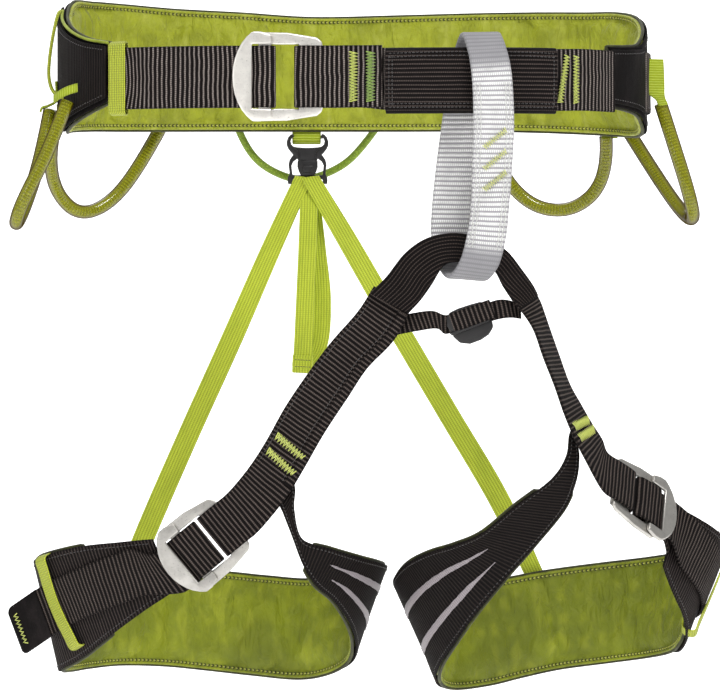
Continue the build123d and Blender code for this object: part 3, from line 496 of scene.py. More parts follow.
def band_mesh(name, band, t, mat, cols=10, edge=None, disp=None, profile=None, shift=0.0, cap=True, attrs=None, sharp=50.0, edge_pts=3, vbend=None):
    """A strip solid with rounded edges. disp(s, x, W, side) gives extra height in mm on each broad side, profile(s, x, W) the half thickness."""
    n = len(band.s)
    er = t / 2 if edge is None else edge
    W = band.w_len
    top = np.linspace(0.0, 1.0, cols + 1)
    ring = []        # (kind, value, side)
    for f in top:
        ring.append((f, None, 1))
    for k in range(1, edge_pts + 1):
        ring.append((1.0, math.pi / 2 - math.pi * k / (edge_pts + 1), 0))
    for f in top[::-1]:
        ring.append((f, None, -1))
    for k in range(1, edge_pts + 1):
        ring.append((0.0, -math.pi / 2 + math.pi * k / (edge_pts + 1), 0))
    m = len(ring)
    verts = np.zeros((n, m, 3))
    us = np.zeros((n, m))
    vb = np.zeros((n, m))
    edges = np.zeros((n, m))
    S = band.s
    for j, (f, ang, side) in enumerate(ring):
        if side:
            x = er + (W - 2 * er) * f
            half = profile(S, x, W) if profile else np.full(n, t / 2)
            h = side * half
            if disp is not None:
                h = h + side * disp(S, x, W, side)
        else:
            x0 = np.full(n, er) if f == 0.0 else W - er
            half = profile(S, x0, W) if profile else np.full(n, t / 2)
            out = er * math.cos(ang)
            x = x0 + (out if f == 1.0 else -out)
            h = half * math.sin(ang) * (1 if f == 1.0 else 1)
            if f == 0.0:
                h = half * math.sin(ang)
        verts[:, j, :] = band.a + band.w * x[:, None] + band.n * (shift + h)[:, None]
        us[:, j] = x
        if vbend is not None:
            vb[:, j] = vbend(S, x, W)
        edges[:, j] = np.minimum(x, W - x)
    flat = verts.reshape(-1, 3)
    faces, uv = [], []
    total = n if band.closed else n - 1
    for i in range(total):
        i2 = (i + 1) % n
        s1, s2 = S[i], (S[i2] if i2 else band.length)
        for j in range(m):
            j2 = (j + 1) % m
            faces.append((i * m + j, i2 * m + j, i2 * m + j2, i * m + j2))
            uv += [(us[i, j] / 1000, (s1 + vb[i, j]) / 1000), (us[i2, j] / 1000, (s2 + vb[i2, j]) / 1000), (us[i2, j2] / 1000, (s2 + vb[i2, j2]) / 1000), (us[i, j2] / 1000, (s1 + vb[i, j2]) / 1000)]
    if cap and not band.closed:
        for i, rev in ((0, False), (n - 1, True)):
            # a strip of quads closes the end, top column against bottom column
            topi = [i * m + j for j in range(cols + 1)]
            boti = [i * m + (2 * cols + 1 + edge_pts) - j for j in range(cols + 1)]
            r_edge = [i * m + cols + 1 + k for k in range(edge_pts)]
            l_edge = [i * m + 2 * (cols + 1) + edge_pts + k for k in range(edge_pts)]
            polys = [(topi[j], topi[j + 1], boti[j + 1], boti[j]) for j in range(cols)]
            polys.append(tuple([topi[-1]] + r_edge + [boti[-1]]))
            polys.append(tuple([boti[0]] + l_edge + [topi[0]]))
            for p in polys:
                p = p if not rev else tuple(reversed(p))
                faces.append(p)
                uv += [(us[i, q % m] / 1000, S[i] / 1000) for q in p]
    a = {"edge": edges.reshape(-1)}
    for key, fn in (attrs or {}).items():
        a[key] = np.concatenate([np.broadcast_to(fn(S[i], us[i], W[i]), (m,)) for i in range(n)])
    return raw_mesh(name, flat, faces, mat, uv, a, sharp)


def tube_mesh(name, pts, radius, mat, sides=12, caps=True, closed=False, sharp=60.0):
    """A round tube along points in mm. radius: one number or one for each point."""
    p = np.asarray(pts, float)
    n = len(p)
    rad = np.full(n, radius, float) if np.isscalar(radius) else np.asarray(radius, float)
    if closed:
        t = np.roll(p, -1, axis=0) - np.roll(p, 1, axis=0)
    else:
        t = np.gradient(p, axis=0)
    t /= np.linalg.norm(t, axis=1)[:, None]
    ref = np.array([0.0, 0.0, 1.0]) if abs(t[0][2]) < 0.9 else np.array([1.0, 0.0, 0.0])
    u = np.cross(t[0], ref)
    u /= np.linalg.norm(u)
    verts = []
    s = np.concatenate([[0], np.cumsum(np.linalg.norm(np.diff(p, axis=0), axis=1))])
    for i in range(n):
        u = u - t[i] * float(np.dot(u, t[i]))
        u /= np.linalg.norm(u)
        v = np.cross(t[i], u)
        for k in range(sides):
            a = 2 * math.pi * k / sides
            verts.append(p[i] + (u * math.cos(a) + v * math.sin(a)) * rad[i])
    faces, uv = [], []
    per = 2 * math.pi * float(np.mean(rad)) / sides
    total = n if closed else n - 1
    for i in range(total):
        i2 = (i + 1) % n
        s1 = s[i]
        s2 = s[i2] if i2 else s[-1] + float(np.linalg.norm(p[0] - p[-1]))
        for k in range(sides):
            k2 = (k + 1) % sides
            faces.append((i * sides + k, i * sides + k2, i2 * sides + k2, i2 * sides + k))
            uv += [(per * k / 1000, s1 / 1000), (per * (k + 1) / 1000, s1 / 1000), (per * (k + 1) / 1000, s2 / 1000), (per * k / 1000, s2 / 1000)]
    if caps and not closed:
        faces.append(tuple(reversed(range(sides))))
        uv += [(0, 0)] * sides
        faces.append(tuple((n - 1) * sides + k for k in range(sides)))
        uv += [(0, 0)] * sides
    return raw_mesh(name, verts, faces, mat, uv, None, sharp)


def quad_curve(points, per=14):
    """A clamped quadratic curve that rounds the corners of a polyline."""
    p = [np.array(q, float) for q in points]
    out = []
    n = len(p)
    for i in range(1, n - 1):
        a = p[0] if i == 1 else (p[i - 1] + p[i]) / 2
        b = p[-1] if i == n - 2 else (p[i] + p[i + 1]) / 2
        for j in range(per + (1 if i == n - 2 else 0)):
            t = j / per
            out.append((1 - t) ** 2 * a + 2 * t * (1 - t) * p[i] + t * t * b)
    return np.array(out)


def join(name, objs):
    """Several meshes become one piece."""
    bm = bmesh.new()
    mats = []
    for o in objs:
        start = len(bm.faces)
        bm.from_mesh(o.data)
        bm.faces.ensure_lookup_table()
        m = o.data.materials[0]
        if m not in mats:
            mats.append(m)
        k = mats.index(m)
        for f in bm.faces[start:]:
            f.material_index = k
    mesh = bpy.data.meshes.new(name)
    bm.to_mesh(mesh)
    bm.free()
    for o in objs:
        old = o.data
        bpy.data.objects.remove(o)
        bpy.data.meshes.remove(old)
    obj = bpy.data.objects.new(name, mesh)
    for m in mats:
        mesh.materials.append(m)
    bpy.context.scene.collection.objects.link(obj)
    return obj


def threads(name, items, mat, width=0.75, height=0.45, bend=0.25):
    """Short raised stitches: items are (centre, along, normal, length) in mm."""
    verts, faces, uv = [], [], []
    prof = ((-0.5, 0.25), (-0.36, 0.85), (0.0, 1.0), (0.36, 0.85), (0.5, 0.25))
    k = 6
    for c, d, n, L in items:
        c, d, n = np.array(c, float), np.array(d, float), np.array(n, float)
        d = d / np.linalg.norm(d)
        n = n - d * float(np.dot(n, d))
        n = n / np.linalg.norm(n)
        w = np.cross(d, n)
        base = len(verts)
        for f, r in prof:
            mid = c + d * (f * L) - n * (bend * (2 * f) ** 2)
            for a in range(k):
                ang = 2 * math.pi * a / k
                verts.append(mid + w * (math.cos(ang) * width / 2 * r) + n * (math.sin(ang) * height * r))
        for i in range(len(prof) - 1):
            for a in range(k):
                b = (a + 1) % k
                faces.append((base + i * k + a, base + i * k + b, base + (i + 1) * k + b, base + (i + 1) * k + a))
                uv += [(a / k * 0.002, prof[i][0] * L / 1000), ((a + 1) / k * 0.002, prof[i][0] * L / 1000), ((a + 1) / k * 0.002, prof[i + 1][0] * L / 1000), (a / k * 0.002, prof[i + 1][0] * L / 1000)]
        faces.append(tuple(base + a for a in reversed(range(k))))
        faces.append(tuple(base + (len(prof) - 1) * k + a for a in range(k)))
        uv += [(0, 0)] * (2 * k)
    return raw_mesh(name, verts, faces, mat, uv, None, 70.0)


def run(band, f, s0, s1, h, pitch=2.6, length=1.9, dist=None, side=1):
    """A row of stitches along a strip; f across, or dist in mm from the edge (negative from the far edge)."""
    out = []
    n = max(1, int(round((s1 - s0) / pitch)))
    for i in range(n):
        s = s0 + (s1 - s0) * (i + 0.5) / n
        g = f
        if dist is not None:
            w = band.width(s)
            g = dist / w if dist >= 0 else 1 + dist / w
        p = band.at(s, g, h * side)
        d = band.at(s + 0.7, g, h * side) - band.at(s - 0.7, g, h * side)
        if np.linalg.norm(d) < 1e-6:
            continue
        out.append((p, d, band.normal(s) * side, length))
    return out


def across(band, s, f0, f1, h, pitch=2.6, length=1.9, side=1):
    """A row of stitches across a strip."""
    out = []
    w = band.width(s)
    n = max(1, int(round(abs(f1 - f0) * w / pitch)))
    for i in range(n):
        f = f0 + (f1 - f0) * (i + 0.5) / n
        out.append((band.at(s, f, h * side), band.at(s, 1.0) - band.at(s, 0.0), band.normal(s) * side, length))
    return out


def zigzag(p0, p1, normal, width, pitch=1.05, radius=0.42, sway=0.12, seed=0):
    """A dense zigzag bar tack between two points: the thread's path."""
    p0, p1, nn = np.array(p0, float), np.array(p1, float), np.array(normal, float)
    d = p1 - p0
    L = float(np.linalg.norm(d))
    d /= L
    nn = nn - d * float(np.dot(nn, d))
    nn /= np.linalg.norm(nn)
    w = np.cross(d, nn)
    k = max(4, int(L / pitch))
    out = []
    for i in range(2 * k + 1):
        x = L * i / (2 * k)
        side = 1 if i % 2 else -1
        j = math.sin(i * 12.9898 + seed * 3.1) * sway
        edge = w * side * (width / 2 + j)
        top = w * side * (width / 4)
        out.append(p0 + d * x + top * 0.0 + nn * (radius * 1.5) if False else p0 + d * x + edge + nn * radius * 0.3)
        if i < 2 * k:
            out.append(p0 + d * (x + L / (4 * k)) + nn * radius * 1.5)
    return out


def zig_run(band, s0, s1, d0, d1, h, pitch=2.4, side=1):
    """A zigzag seam along a strip between two distances from its edge (negative from the far edge)."""
    out = []
    k = max(2, int(round((s1 - s0) / pitch)))
    for i in range(k):
        a, b = s0 + (s1 - s0) * i / k, s0 + (s1 - s0) * (i + 1) / k
        w = band.width(a)
        fa, fb = [(q / w if q >= 0 else 1 + q / w) for q in ((d0, d1) if i % 2 else (d1, d0))]
        p, q = band.at(a, fa, h * side), band.at(b, fb, h * side)
        out.append(((p + q) / 2, q - p, band.normal(a) * side, float(np.linalg.norm(q - p)) * 0.95))
    return out


def plate(name, polys, y0, y1, width, mat, segments=3):
    """Flat moulded parts: outlines in x, z (mm) between two depths, their edges rounded. Each outline may have its own depths."""
    bm = bmesh.new()
    for item in polys:
        outline, lo, hi = item if len(item) == 3 and not isinstance(item[0], (int, float)) and isinstance(item[1], (int, float)) else (item, y0, y1)
        part = bmesh.new()
        area2 = sum(outline[i][0] * outline[(i + 1) % len(outline)][1] - outline[(i + 1) % len(outline)][0] * outline[i][1] for i in range(len(outline)))
        ring = outline if area2 > 0 else outline[::-1]
        front = [part.verts.new((x / 1000, lo / 1000, z / 1000)) for x, z in ring]
        back = [part.verts.new((x / 1000, hi / 1000, z / 1000)) for x, z in ring]
        part.faces.new(front)
        part.faces.new(back[::-1])
        for i in range(len(ring)):
            j = (i + 1) % len(ring)
            part.faces.new((front[j], front[i], back[i], back[j]))
        part.normal_update()
        es = [e for e in part.edges if e.calc_face_angle(0) > math.radians(35)]
        bmesh.ops.bevel(part, geom=es, offset=width / 1000, segments=segments, profile=0.5, affect="EDGES", clamp_overlap=True)
        tmp = bpy.data.meshes.new("part")
        part.to_mesh(tmp)
        part.free()
        bm.from_mesh(tmp)
        bpy.data.meshes.remove(tmp)
    mesh = bpy.data.meshes.new(name)
    bm.to_mesh(mesh)
    bm.free()
    mesh.polygons.foreach_set("use_smooth", [True] * len(mesh.polygons))
    mesh.set_sharp_from_angle(angle=math.radians(40))
    mesh.update()
    return link(name, mesh, mat)


def bevelled(node, width, mat, segments=3, name=None, angle=35.0, sub_level=0):
    """The node's own solid with its edges rounded over."""
    bm = bmesh.new()
    bm.from_mesh(NODE[node].data)
    bmesh.ops.remove_doubles(bm, verts=bm.verts, dist=2e-6)
    bmesh.ops.dissolve_limit(bm, angle_limit=math.radians(1.5), verts=bm.verts, edges=bm.edges)
    sharp = [e for e in bm.edges if len(e.link_faces) == 2 and e.calc_face_angle(0) > math.radians(angle)]
    bmesh.ops.bevel(bm, geom=sharp, offset=width / 1000, segments=segments, profile=0.5, affect="EDGES", clamp_overlap=True)
    mesh = bpy.data.meshes.new(name or node + "_shape")
    bm.to_mesh(mesh)
    bm.free()
    mesh.polygons.foreach_set("use_smooth", [True] * len(mesh.polygons))
    mesh.set_sharp_from_angle(angle=math.radians(40))
    mesh.update()
    return link(name or node + "_shape", mesh, mat)


BODY = {}
for _b, _nodes in frame["record"]["behaviour"]["bodies"].items():
    for _n in _nodes:
        BODY[_n] = _b


def put(obj, body, slot, *nodes):
    """Ride and replaced nodes in one call; the finish slot is not used."""
    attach(obj, body)
    if nodes:
        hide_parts(*nodes)
    return obj


# ---- materials ----------------------------------------------------------------
class Mat:
    """A node material: small sums written as calls."""

    def __init__(self, name, color=(0.5, 0.5, 0.5), rough=0.7, **fixed):
        self.m = bpy.data.materials.new(name)
        self.m.use_nodes = True
        self.nt = self.m.node_tree
        self.bsdf = self.nt.nodes["Principled BSDF"]
        self.set("Base Color", color)
        self.set("Roughness", rough)
        for key, value in fixed.items():
            self.set(key.replace("_", " "), value)
        self.uvs = None

    def set(self, socket, value):
        s = self.bsdf.inputs[socket]
        if isinstance(value, bpy.types.NodeSocket):
            self.nt.links.new(value, s)
        elif isinstance(value, (tuple, list)):
            s.default_value = tuple(value) + ((1.0,) if len(value) == 3 and len(s.default_value) == 4 else ())
        else:
            s.default_value = value

    def new(self, kind, **props):
        n = self.nt.nodes.new(kind)
        for k, v in props.items():
            setattr(n, k, v)
        return n

    def into(self, sock, value):
        if isinstance(value, bpy.types.NodeSocket):
            self.nt.links.new(value, sock)
        else:
            if hasattr(sock.default_value, "__len__") and not hasattr(value, "__len__"):
                value = (value,) * len(sock.default_value)
            if hasattr(sock.default_value, "__len__") and len(value) == 3 and len(sock.default_value) == 4:
                value = tuple(value) + (1.0,)
            sock.default_value = value

    def math(self, op, a, b=0.0, c=0.0, clamp=False):
        n = self.new("ShaderNodeMath", operation=op, use_clamp=clamp)
        for s, v in zip(n.inputs, (a, b, c)):
            self.into(s, v)
        return n.outputs[0]

    def uv(self):
        if self.uvs is None:
            sep = self.new("ShaderNodeSeparateXYZ")
            node = self.new("ShaderNodeUVMap")
            node.uv_map = "UVMap"
            self.nt.links.new(node.outputs[0], sep.inputs[0])
            self.uvs = (sep.outputs[0], sep.outputs[1], node.outputs[0])
        return self.uvs

    def attr(self, name):
        n = self.new("ShaderNodeAttribute", attribute_name=name)
        return n.outputs["Fac"]

    def obj(self):
        return self.new("ShaderNodeTexCoord").outputs["Object"]

    def scaled(self, vec, s):
        n = self.new("ShaderNodeVectorMath", operation="MULTIPLY")
        self.into(n.inputs[0], vec)
        n.inputs[1].default_value = s if hasattr(s, "__len__") else (s, s, s)
        return n.outputs[0]

    def noise(self, vec, scale, detail=3.0, rough=0.55, distortion=0.0):
        n = self.new("ShaderNodeTexNoise")
        self.into(n.inputs["Vector"], vec)
        n.inputs["Scale"].default_value = scale
        n.inputs["Detail"].default_value = detail
        n.inputs["Roughness"].default_value = rough
        n.inputs["Distortion"].default_value = distortion
        return n.outputs["Fac"]

    def voronoi(self, vec, scale, feature="F1"):
        n = self.new("ShaderNodeTexVoronoi", feature=feature)
        self.into(n.inputs["Vector"], vec)
        n.inputs["Scale"].default_value = scale
        return n.outputs["Distance"]

    def wave(self, value, pitch, phase=0.0):
        """0..1 sine of a length in metres."""
        a = self.math("MULTIPLY_ADD", value, 2 * math.pi / pitch, phase)
        s = self.math("SINE", a)
        return self.math("MULTIPLY_ADD", s, 0.5, 0.5)

    def range(self, value, a, b, c=0.0, d=1.0, soft=True):
        n = self.new("ShaderNodeMapRange")
        n.interpolation_type = "SMOOTHSTEP" if soft else "LINEAR"
        self.into(n.inputs["Value"], value)
        n.inputs["From Min"].default_value = a
        n.inputs["From Max"].default_value = b
        n.inputs["To Min"].default_value = c
        n.inputs["To Max"].default_value = d
        return n.outputs["Result"]

    def mix(self, fac, a, b, kind="MIX"):
        n = self.new("ShaderNodeMix", data_type="RGBA", blend_type=kind)
        self.into(n.inputs[0], fac)
        self.into(n.inputs[6], a)
        self.into(n.inputs[7], b)
        return n.outputs[2]

    def bump(self, height, distance, strength=1.0, under=None):
        n = self.new("ShaderNodeBump")
        n.inputs["Distance"].default_value = distance
        n.inputs["Strength"].default_value = strength
        self.into(n.inputs["Height"], height)
        if under is not None:
            self.nt.links.new(under, n.inputs["Normal"])
        return n.outputs["Normal"]

    def done(self, color=None, rough=None, normal=None):
        if color is not None:
            self.set("Base Color", color)
        if rough is not None:
            self.set("Roughness", rough)
        if normal is not None:
            self.nt.links.new(normal, self.bsdf.inputs["Normal"])
        return self.m


def srgb(r, g, b):
    out = []
    for c in (r, g, b):
        c /= 255.0
        out.append(c / 12.92 if c <= 0.04045 else ((c + 0.055) / 1.055) ** 2.4)
    return tuple(out)


def webbing(name, base, rib, pitch=0.0032, rib_from=0.62, rib_to=0.95, rib_mix=0.8, depth=0.00035, across_pitch=0.0011, wear=None, wear_color=None, sheen=0.06, edge_dark=0.5, turned=False, wobble=0.22):
    """Ribs run across the strip (along it when turned); short floats run between them."""
    dark_one = max(base) < 0.02
    k = Mat(name, base, 0.8 if dark_one else 0.72, Sheen_Weight=0.0 if dark_one else sheen, Sheen_Roughness=0.45, Specular_IOR_Level=0.10 if dark_one else 0.3)
    u, v, uv = k.uv()
    if turned:
        u, v = v, u
    n1 = k.noise(k.scaled(uv, (60, 25, 1)), 1.0, 3.0)
    v2 = k.math("MULTIPLY_ADD", n1, pitch * wobble * 2, v)
    r = k.wave(v2, pitch)
    warp = k.wave(u, across_pitch)
    # every other rib shifts the floats by half their width
    half = k.wave(v2, pitch * 2.0)
    shift = k.math("GREATER_THAN", half, 0.5)
    warp2 = k.wave(u, across_pitch, math.pi)
    float_h = k.math("ADD", k.math("MULTIPLY", warp, shift), k.math("MULTIPLY", warp2, k.math("SUBTRACT", 1.0, shift)))
    light = k.math("MULTIPLY", k.range(r, rib_from, rib_to), k.math("MULTIPLY_ADD", float_h, 0.75, 0.35), clamp=True)
    fine = k.noise(k.scaled(uv, (2600, 1500, 1)), 1.0, 2.0)
    light = k.math("MULTIPLY", light, k.math("MULTIPLY_ADD", fine, 0.9, 0.55), clamp=True)
    col = k.mix(k.math("MULTIPLY", light, rib_mix), base, rib)
    patch = k.noise(k.scaled(uv, (90, 60, 1)), 1.0, 4.0)
    col = k.mix(k.range(patch, 0.35, 0.75, 0.0, 0.22), col, tuple(min(1.0, c * 0.45) for c in base))
    e = k.attr("edge")
    sel = k.range(e, 0.2, 1.7, 1.0, 0.0)
    col = k.mix(k.math("MULTIPLY", sel, edge_dark), col, tuple(c * 0.55 for c in base))
    if wear is not None:
        w = k.attr("wear")
        col = k.mix(w, col, wear_color)
    h = k.math("MULTIPLY_ADD", float_h, 0.28, r)
    h = k.math("MULTIPLY_ADD", fine, 0.22, h)
    if wear is not None:
        h = k.math("MULTIPLY", h, k.math("MULTIPLY_ADD", k.attr("wear"), -0.8, 1.0))
    rough = k.range(fine, 0.2, 0.8, 0.62, 0.86, soft=False)
    return k.done(col, rough, k.bump(h, depth))


def elastic(name, base, dark, pitch=0.0016, depth=0.00022, stretch=0.0013, tone=0.35, sheen=0.2):
    """Ribs run lengthwise, crossed by the fine cover yarn."""
    k = Mat(name, base, 0.62, Sheen_Weight=sheen, Sheen_Roughness=0.4, Specular_IOR_Level=0.4)
    u, v, uv = k.uv()
    n1 = k.noise(k.scaled(uv, (40, 90, 1)), 1.0, 3.0)
    r = k.wave(k.math("MULTIPLY_ADD", n1, 0.0002, u), pitch)
    y = k.wave(k.math("MULTIPLY_ADD", r, 0.0002, v), stretch)
    fine = k.noise(k.scaled(uv, (3000, 3000, 1)), 1.0, 2.0)
    low = k.math("SUBTRACT", 1.0, r)
    groove = k.math("MULTIPLY", k.range(low, 0.55, 1.0), tone)
    col = k.mix(groove, base, dark)
    col = k.mix(k.math("MULTIPLY", k.range(y, 0.0, 0.35, 1.0, 0.0), tone * 0.55), col, dark)
    patch = k.noise(k.scaled(uv, (70, 25, 1)), 1.0, 3.0)
    col = k.mix(k.range(patch, 0.4, 0.75, 0.0, 0.25), col, dark)
    h = k.math("MULTIPLY_ADD", y, 0.35, r)
    h = k.math("MULTIPLY_ADD", fine, 0.15, h)
    return k.done(col, k.range(fine, 0.2, 0.8, 0.5, 0.75, soft=False), k.bump(h, depth))


def cloth(name, base, dark, light, thread=0.0007, depth=0.00012, crease=0.0, sheen=0.25, rough=(0.5, 0.75), spec=0.4, tone=0.25, twill=False, coat=0.0, seam=None, dots=None):
    """Plain or twill fabric with colour drift and painted highlights, the light colour laid in blotches where the fold
    noise is high; crease adds fine creases.
    """
    k = Mat(name, base, 0.6, Sheen_Weight=sheen, Sheen_Roughness=0.35, Specular_IOR_Level=spec, Coat_Weight=coat, Coat_Roughness=0.4)
    u, v, uv = k.uv()
    a = k.wave(k.math("ADD", u, v) if twill else u, thread)
    b = k.wave(k.math("SUBTRACT", v, k.math("MULTIPLY", u, 0.5)) if twill else v, thread * (1.9 if twill else 1.0))
    weave = k.math("MULTIPLY", a, b)
    p = k.obj()
    fine = k.noise(k.scaled(p, 1.0), 2600.0, 2.0)
    drift = k.noise(k.scaled(p, 1.0), 55.0, 4.0, 0.6)
    fold_highlight_noise = k.noise(k.scaled(p, (1.0, 1.0, 0.35)), 90.0, 3.0, 0.5, 0.6)
    col = k.mix(k.range(drift, 0.35, 0.72, 0.0, tone), base, dark)
    # painted highlight: the light colour in blotches where the fold noise is high
    col = k.mix(k.range(fold_highlight_noise, 0.5, 0.75, 0.0, tone * 1.2), col, light)
    col = k.mix(k.math("MULTIPLY", k.range(weave, 0.0, 0.3, 1.0, 0.0), tone * 0.7), col, dark)
    if dots is not None:
        # the perforated foam under the lining raises it in rows; the lighter spots on these rows are painted
        # highlights, the broad darker blotches below are painted shade
        du = k.wave(k.math("MULTIPLY_ADD", fold_highlight_noise, 0.010, u), dots * 1.35)
        dv = k.wave(k.math("MULTIPLY_ADD", drift, 0.014, v), dots)
        spot_highlight = k.math("MULTIPLY", k.math("MULTIPLY", k.range(du, 0.0, 1.0), k.range(dv, 0.0, 1.0)), k.range(k.noise(k.scaled(p, (1.0, 1.0, 1.0)), 30.0, 1.0), 0.35, 0.65))
        broad = k.noise(k.scaled(p, (1.0, 1.0, 1.0)), 16.0, 2.0, 0.4)
        # painted shade in broad darker blotches
        col = k.mix(k.range(broad, 0.40, 0.62, 0.0, 0.50), col, tuple(c * 0.85 for c in dark))
        col = k.mix(k.math("MULTIPLY", spot_highlight, 0.22), col, light)
    if seam is not None:
        # painted shade: dark dashes at the sewing holes along the seam line, and a shade in its groove; a painted
        # highlight along the raised rim
        e = k.attr("edge")
        off = k.math("ABSOLUTE", k.math("SUBTRACT", e, seam[0]))
        groove = k.range(off, 0.5, 2.4, 0.42, 0.0)
        hole_shade = k.math("MULTIPLY", k.range(off, 0.7, 1.15, 1.0, 0.0), k.range(k.wave(v, seam[1] / 1000), 0.40, 0.62))
        col = k.mix(groove, col, dark)
        col = k.mix(k.math("MULTIPLY", hole_shade, 0.96), col, tuple(c * 0.07 for c in dark))
        # painted highlight along the raised rim at the edge
        rim_highlight = k.math("ABSOLUTE", k.math("SUBTRACT", e, 1.0))
        col = k.mix(k.range(rim_highlight, 0.2, 0.9, 0.12, 0.0), col, light)
    h = k.math("MULTIPLY_ADD", fine, 0.35, weave)
    nrm = k.bump(h, depth)
    if crease:
        c1 = k.noise(k.scaled(p, (1.0, 1.0, 0.45)), 140.0, 4.0, 0.55, 0.8)
        nrm = k.bump(c1, crease, 1.0, nrm)
    return k.done(col, k.range(fine, 0.25, 0.75, rough[0], rough[1], soft=False), nrm)


LIME = srgb(168, 175, 34)
LIME_DARK = srgb(96, 104, 8)
# the colour below is used for painted highlights on the lime lining
LIME_HIGHLIGHT = srgb(196, 200, 84)
WEB_LIME = srgb(192, 205, 54)
BLACK = srgb(23, 18, 18)

m_lining = cloth("lime_lining_fabric", LIME, LIME_DARK, LIME_HIGHLIGHT, thread=0.0006, depth=0.00010, crease=0.0042, sheen=0.12, rough=(0.42, 0.62), spec=0.4, tone=0.45, seam=(2.9, 2.7))
# the belt's lime lining with darker colours on the leg pads as painted shade; its dots add painted highlight spots and
# painted shade blotches
m_leg_lining_shaded = cloth("lime_leg_lining_painted_shade", srgb(142, 152, 12), srgb(84, 94, 2), srgb(182, 188, 44), thread=0.0006, depth=0.00010, crease=0.0038, sheen=0.10, rough=(0.42, 0.62), spec=0.4, tone=0.45, seam=(2.9, 2.7), dots=0.0125)
m_fabric = cloth("black_fabric_twill", srgb(20, 16, 16), srgb(9, 7, 7), srgb(44, 39, 38), thread=0.0008, depth=0.00015, crease=0.0008, sheen=0.0, rough=(0.7, 0.9), spec=0.10, tone=0.6, twill=True)
m_smooth = cloth("black_smooth_fabric", srgb(18, 14, 14), srgb(8, 6, 6), srgb(42, 36, 36), thread=0.0007, depth=0.00016, crease=0.0010, sheen=0.0, rough=(0.6, 0.8), spec=0.12, tone=0.6)
m_ribbed = webbing("black_fine_ribbed_fabric", srgb(17, 13, 13), srgb(92, 82, 78), pitch=0.0024, rib_from=0.52, rib_to=1.0, rib_mix=0.75, depth=0.00038, across_pitch=0.0010)
m_inner = webbing("black_shell_fabric_ribs", srgb(15, 12, 12), srgb(58, 50, 47), pitch=0.0024, rib_from=0.52, rib_to=1.0, rib_mix=0.75, depth=0.00034, across_pitch=0.0010)
m_web = webbing("black_ribbed_webbing", srgb(16, 11, 11), srgb(164, 153, 147), pitch=0.0031, rib_from=0.54, rib_to=1.0, rib_mix=0.85, depth=0.00065, across_pitch=0.0013, wobble=0.36)
m_web_leg = webbing("black_leg_webbing", srgb(15, 11, 11), srgb(112, 101, 95), pitch=0.0029, rib_from=0.50, rib_to=1.0, rib_mix=0.78, depth=0.00055, across_pitch=0.0012)
m_sleeve = webbing("black_sleeve_cover", srgb(16, 12, 12), srgb(104, 93, 88), pitch=0.0027, rib_from=0.66, rib_to=1.0, rib_mix=0.66, depth=0.00045, across_pitch=0.0014, turned=True, wobble=0.16)
m_bridge = webbing("black_bridge_sleeve", srgb(14, 10, 10), srgb(98, 86, 80), pitch=0.0023, rib_from=0.70, rib_to=1.0, rib_mix=0.5, depth=0.00040, across_pitch=0.0016, turned=True, wobble=0.12)
m_belay = webbing("pale_load_webbing", srgb(164, 162, 166), srgb(254, 254, 252), pitch=0.0031, rib_from=0.12, rib_to=0.60, rib_mix=1.0, depth=0.00055, across_pitch=0.0013, wear=True, wear_color=srgb(124, 123, 127), sheen=0.15, edge_dark=0.35, wobble=0.10)
m_elastic = elastic("lime_elastic_tape", WEB_LIME, srgb(112, 128, 10), pitch=0.0019, tone=0.6, sheen=0.12, depth=0.00032)
m_keeper = elastic("lime_keeper_elastic", srgb(202, 212, 62), srgb(112, 122, 12), pitch=0.0014, depth=0.0005, stretch=0.0015, tone=0.95, sheen=0.12)
m_tab = webbing("lime_narrow_webbing", srgb(150, 166, 26), srgb(206, 220, 96), pitch=0.0017, rib_from=0.45, rib_to=0.95, rib_mix=0.7, depth=0.00032, across_pitch=0.0009, edge_dark=0.3)
m_piping = cloth("dark_edge_piping", srgb(52, 54, 14), srgb(22, 22, 8), srgb(96, 102, 30), thread=0.0009, depth=0.0002, sheen=0.1, tone=0.5)
m_piping_black = cloth("black_edge_piping", srgb(24, 21, 20), srgb(12, 10, 10), srgb(46, 44, 42), thread=0.0009, depth=0.0002, sheen=0.1, tone=0.5)
m_piping_lime = cloth("lime_edge_piping", srgb(166, 180, 50), srgb(104, 118, 16), srgb(196, 212, 88), thread=0.0009, depth=0.0002, sheen=0.12, tone=0.4)


def thread_mat(name, base, dark):
    k = Mat(name, base, 0.5, Sheen_Weight=0.3, Sheen_Roughness=0.4, Specular_IOR_Level=0.45)
    u, v, uv = k.uv()
    tw = k.wave(k.math("MULTIPLY_ADD", u, 1.6, v), 0.00055)
    fine = k.noise(k.obj(), 1800.0, 2.0)
    col = k.mix(k.math("MULTIPLY", k.range(tw, 0.0, 0.6, 1.0, 0.0), 0.5), base, dark)
    col = k.mix(k.range(fine, 0.4, 0.7, 0.0, 0.3), col, dark)
    return k.done(col, k.range(fine, 0.3, 0.7, 0.4, 0.6), k.bump(k.math("MULTIPLY_ADD", fine, 0.4, tw), 0.00012))


m_thread = thread_mat("lime_thread_twist", srgb(250, 252, 178), srgb(196, 208, 96))
m_thread_lime = thread_mat("strong_lime_thread", srgb(236, 244, 126), srgb(160, 178, 52))
m_thread_green = thread_mat("green_thread_twist", srgb(172, 206, 96), srgb(96, 136, 34))
m_thread_yel = thread_mat("olive_seam_thread", srgb(84, 84, 14), srgb(34, 34, 4))
m_thread_gold = thread_mat("yellow_seam_thread", srgb(206, 206, 92), srgb(140, 142, 30))
m_thread_dark = thread_mat("dark_seam_thread", srgb(58, 53, 52), srgb(18, 16, 16))
m_thread_grey = thread_mat("grey_seam_thread", srgb(150, 148, 146), srgb(92, 90, 88))
m_thread_white = thread_mat("pale_seam_thread", srgb(226, 226, 222), srgb(170, 170, 168))


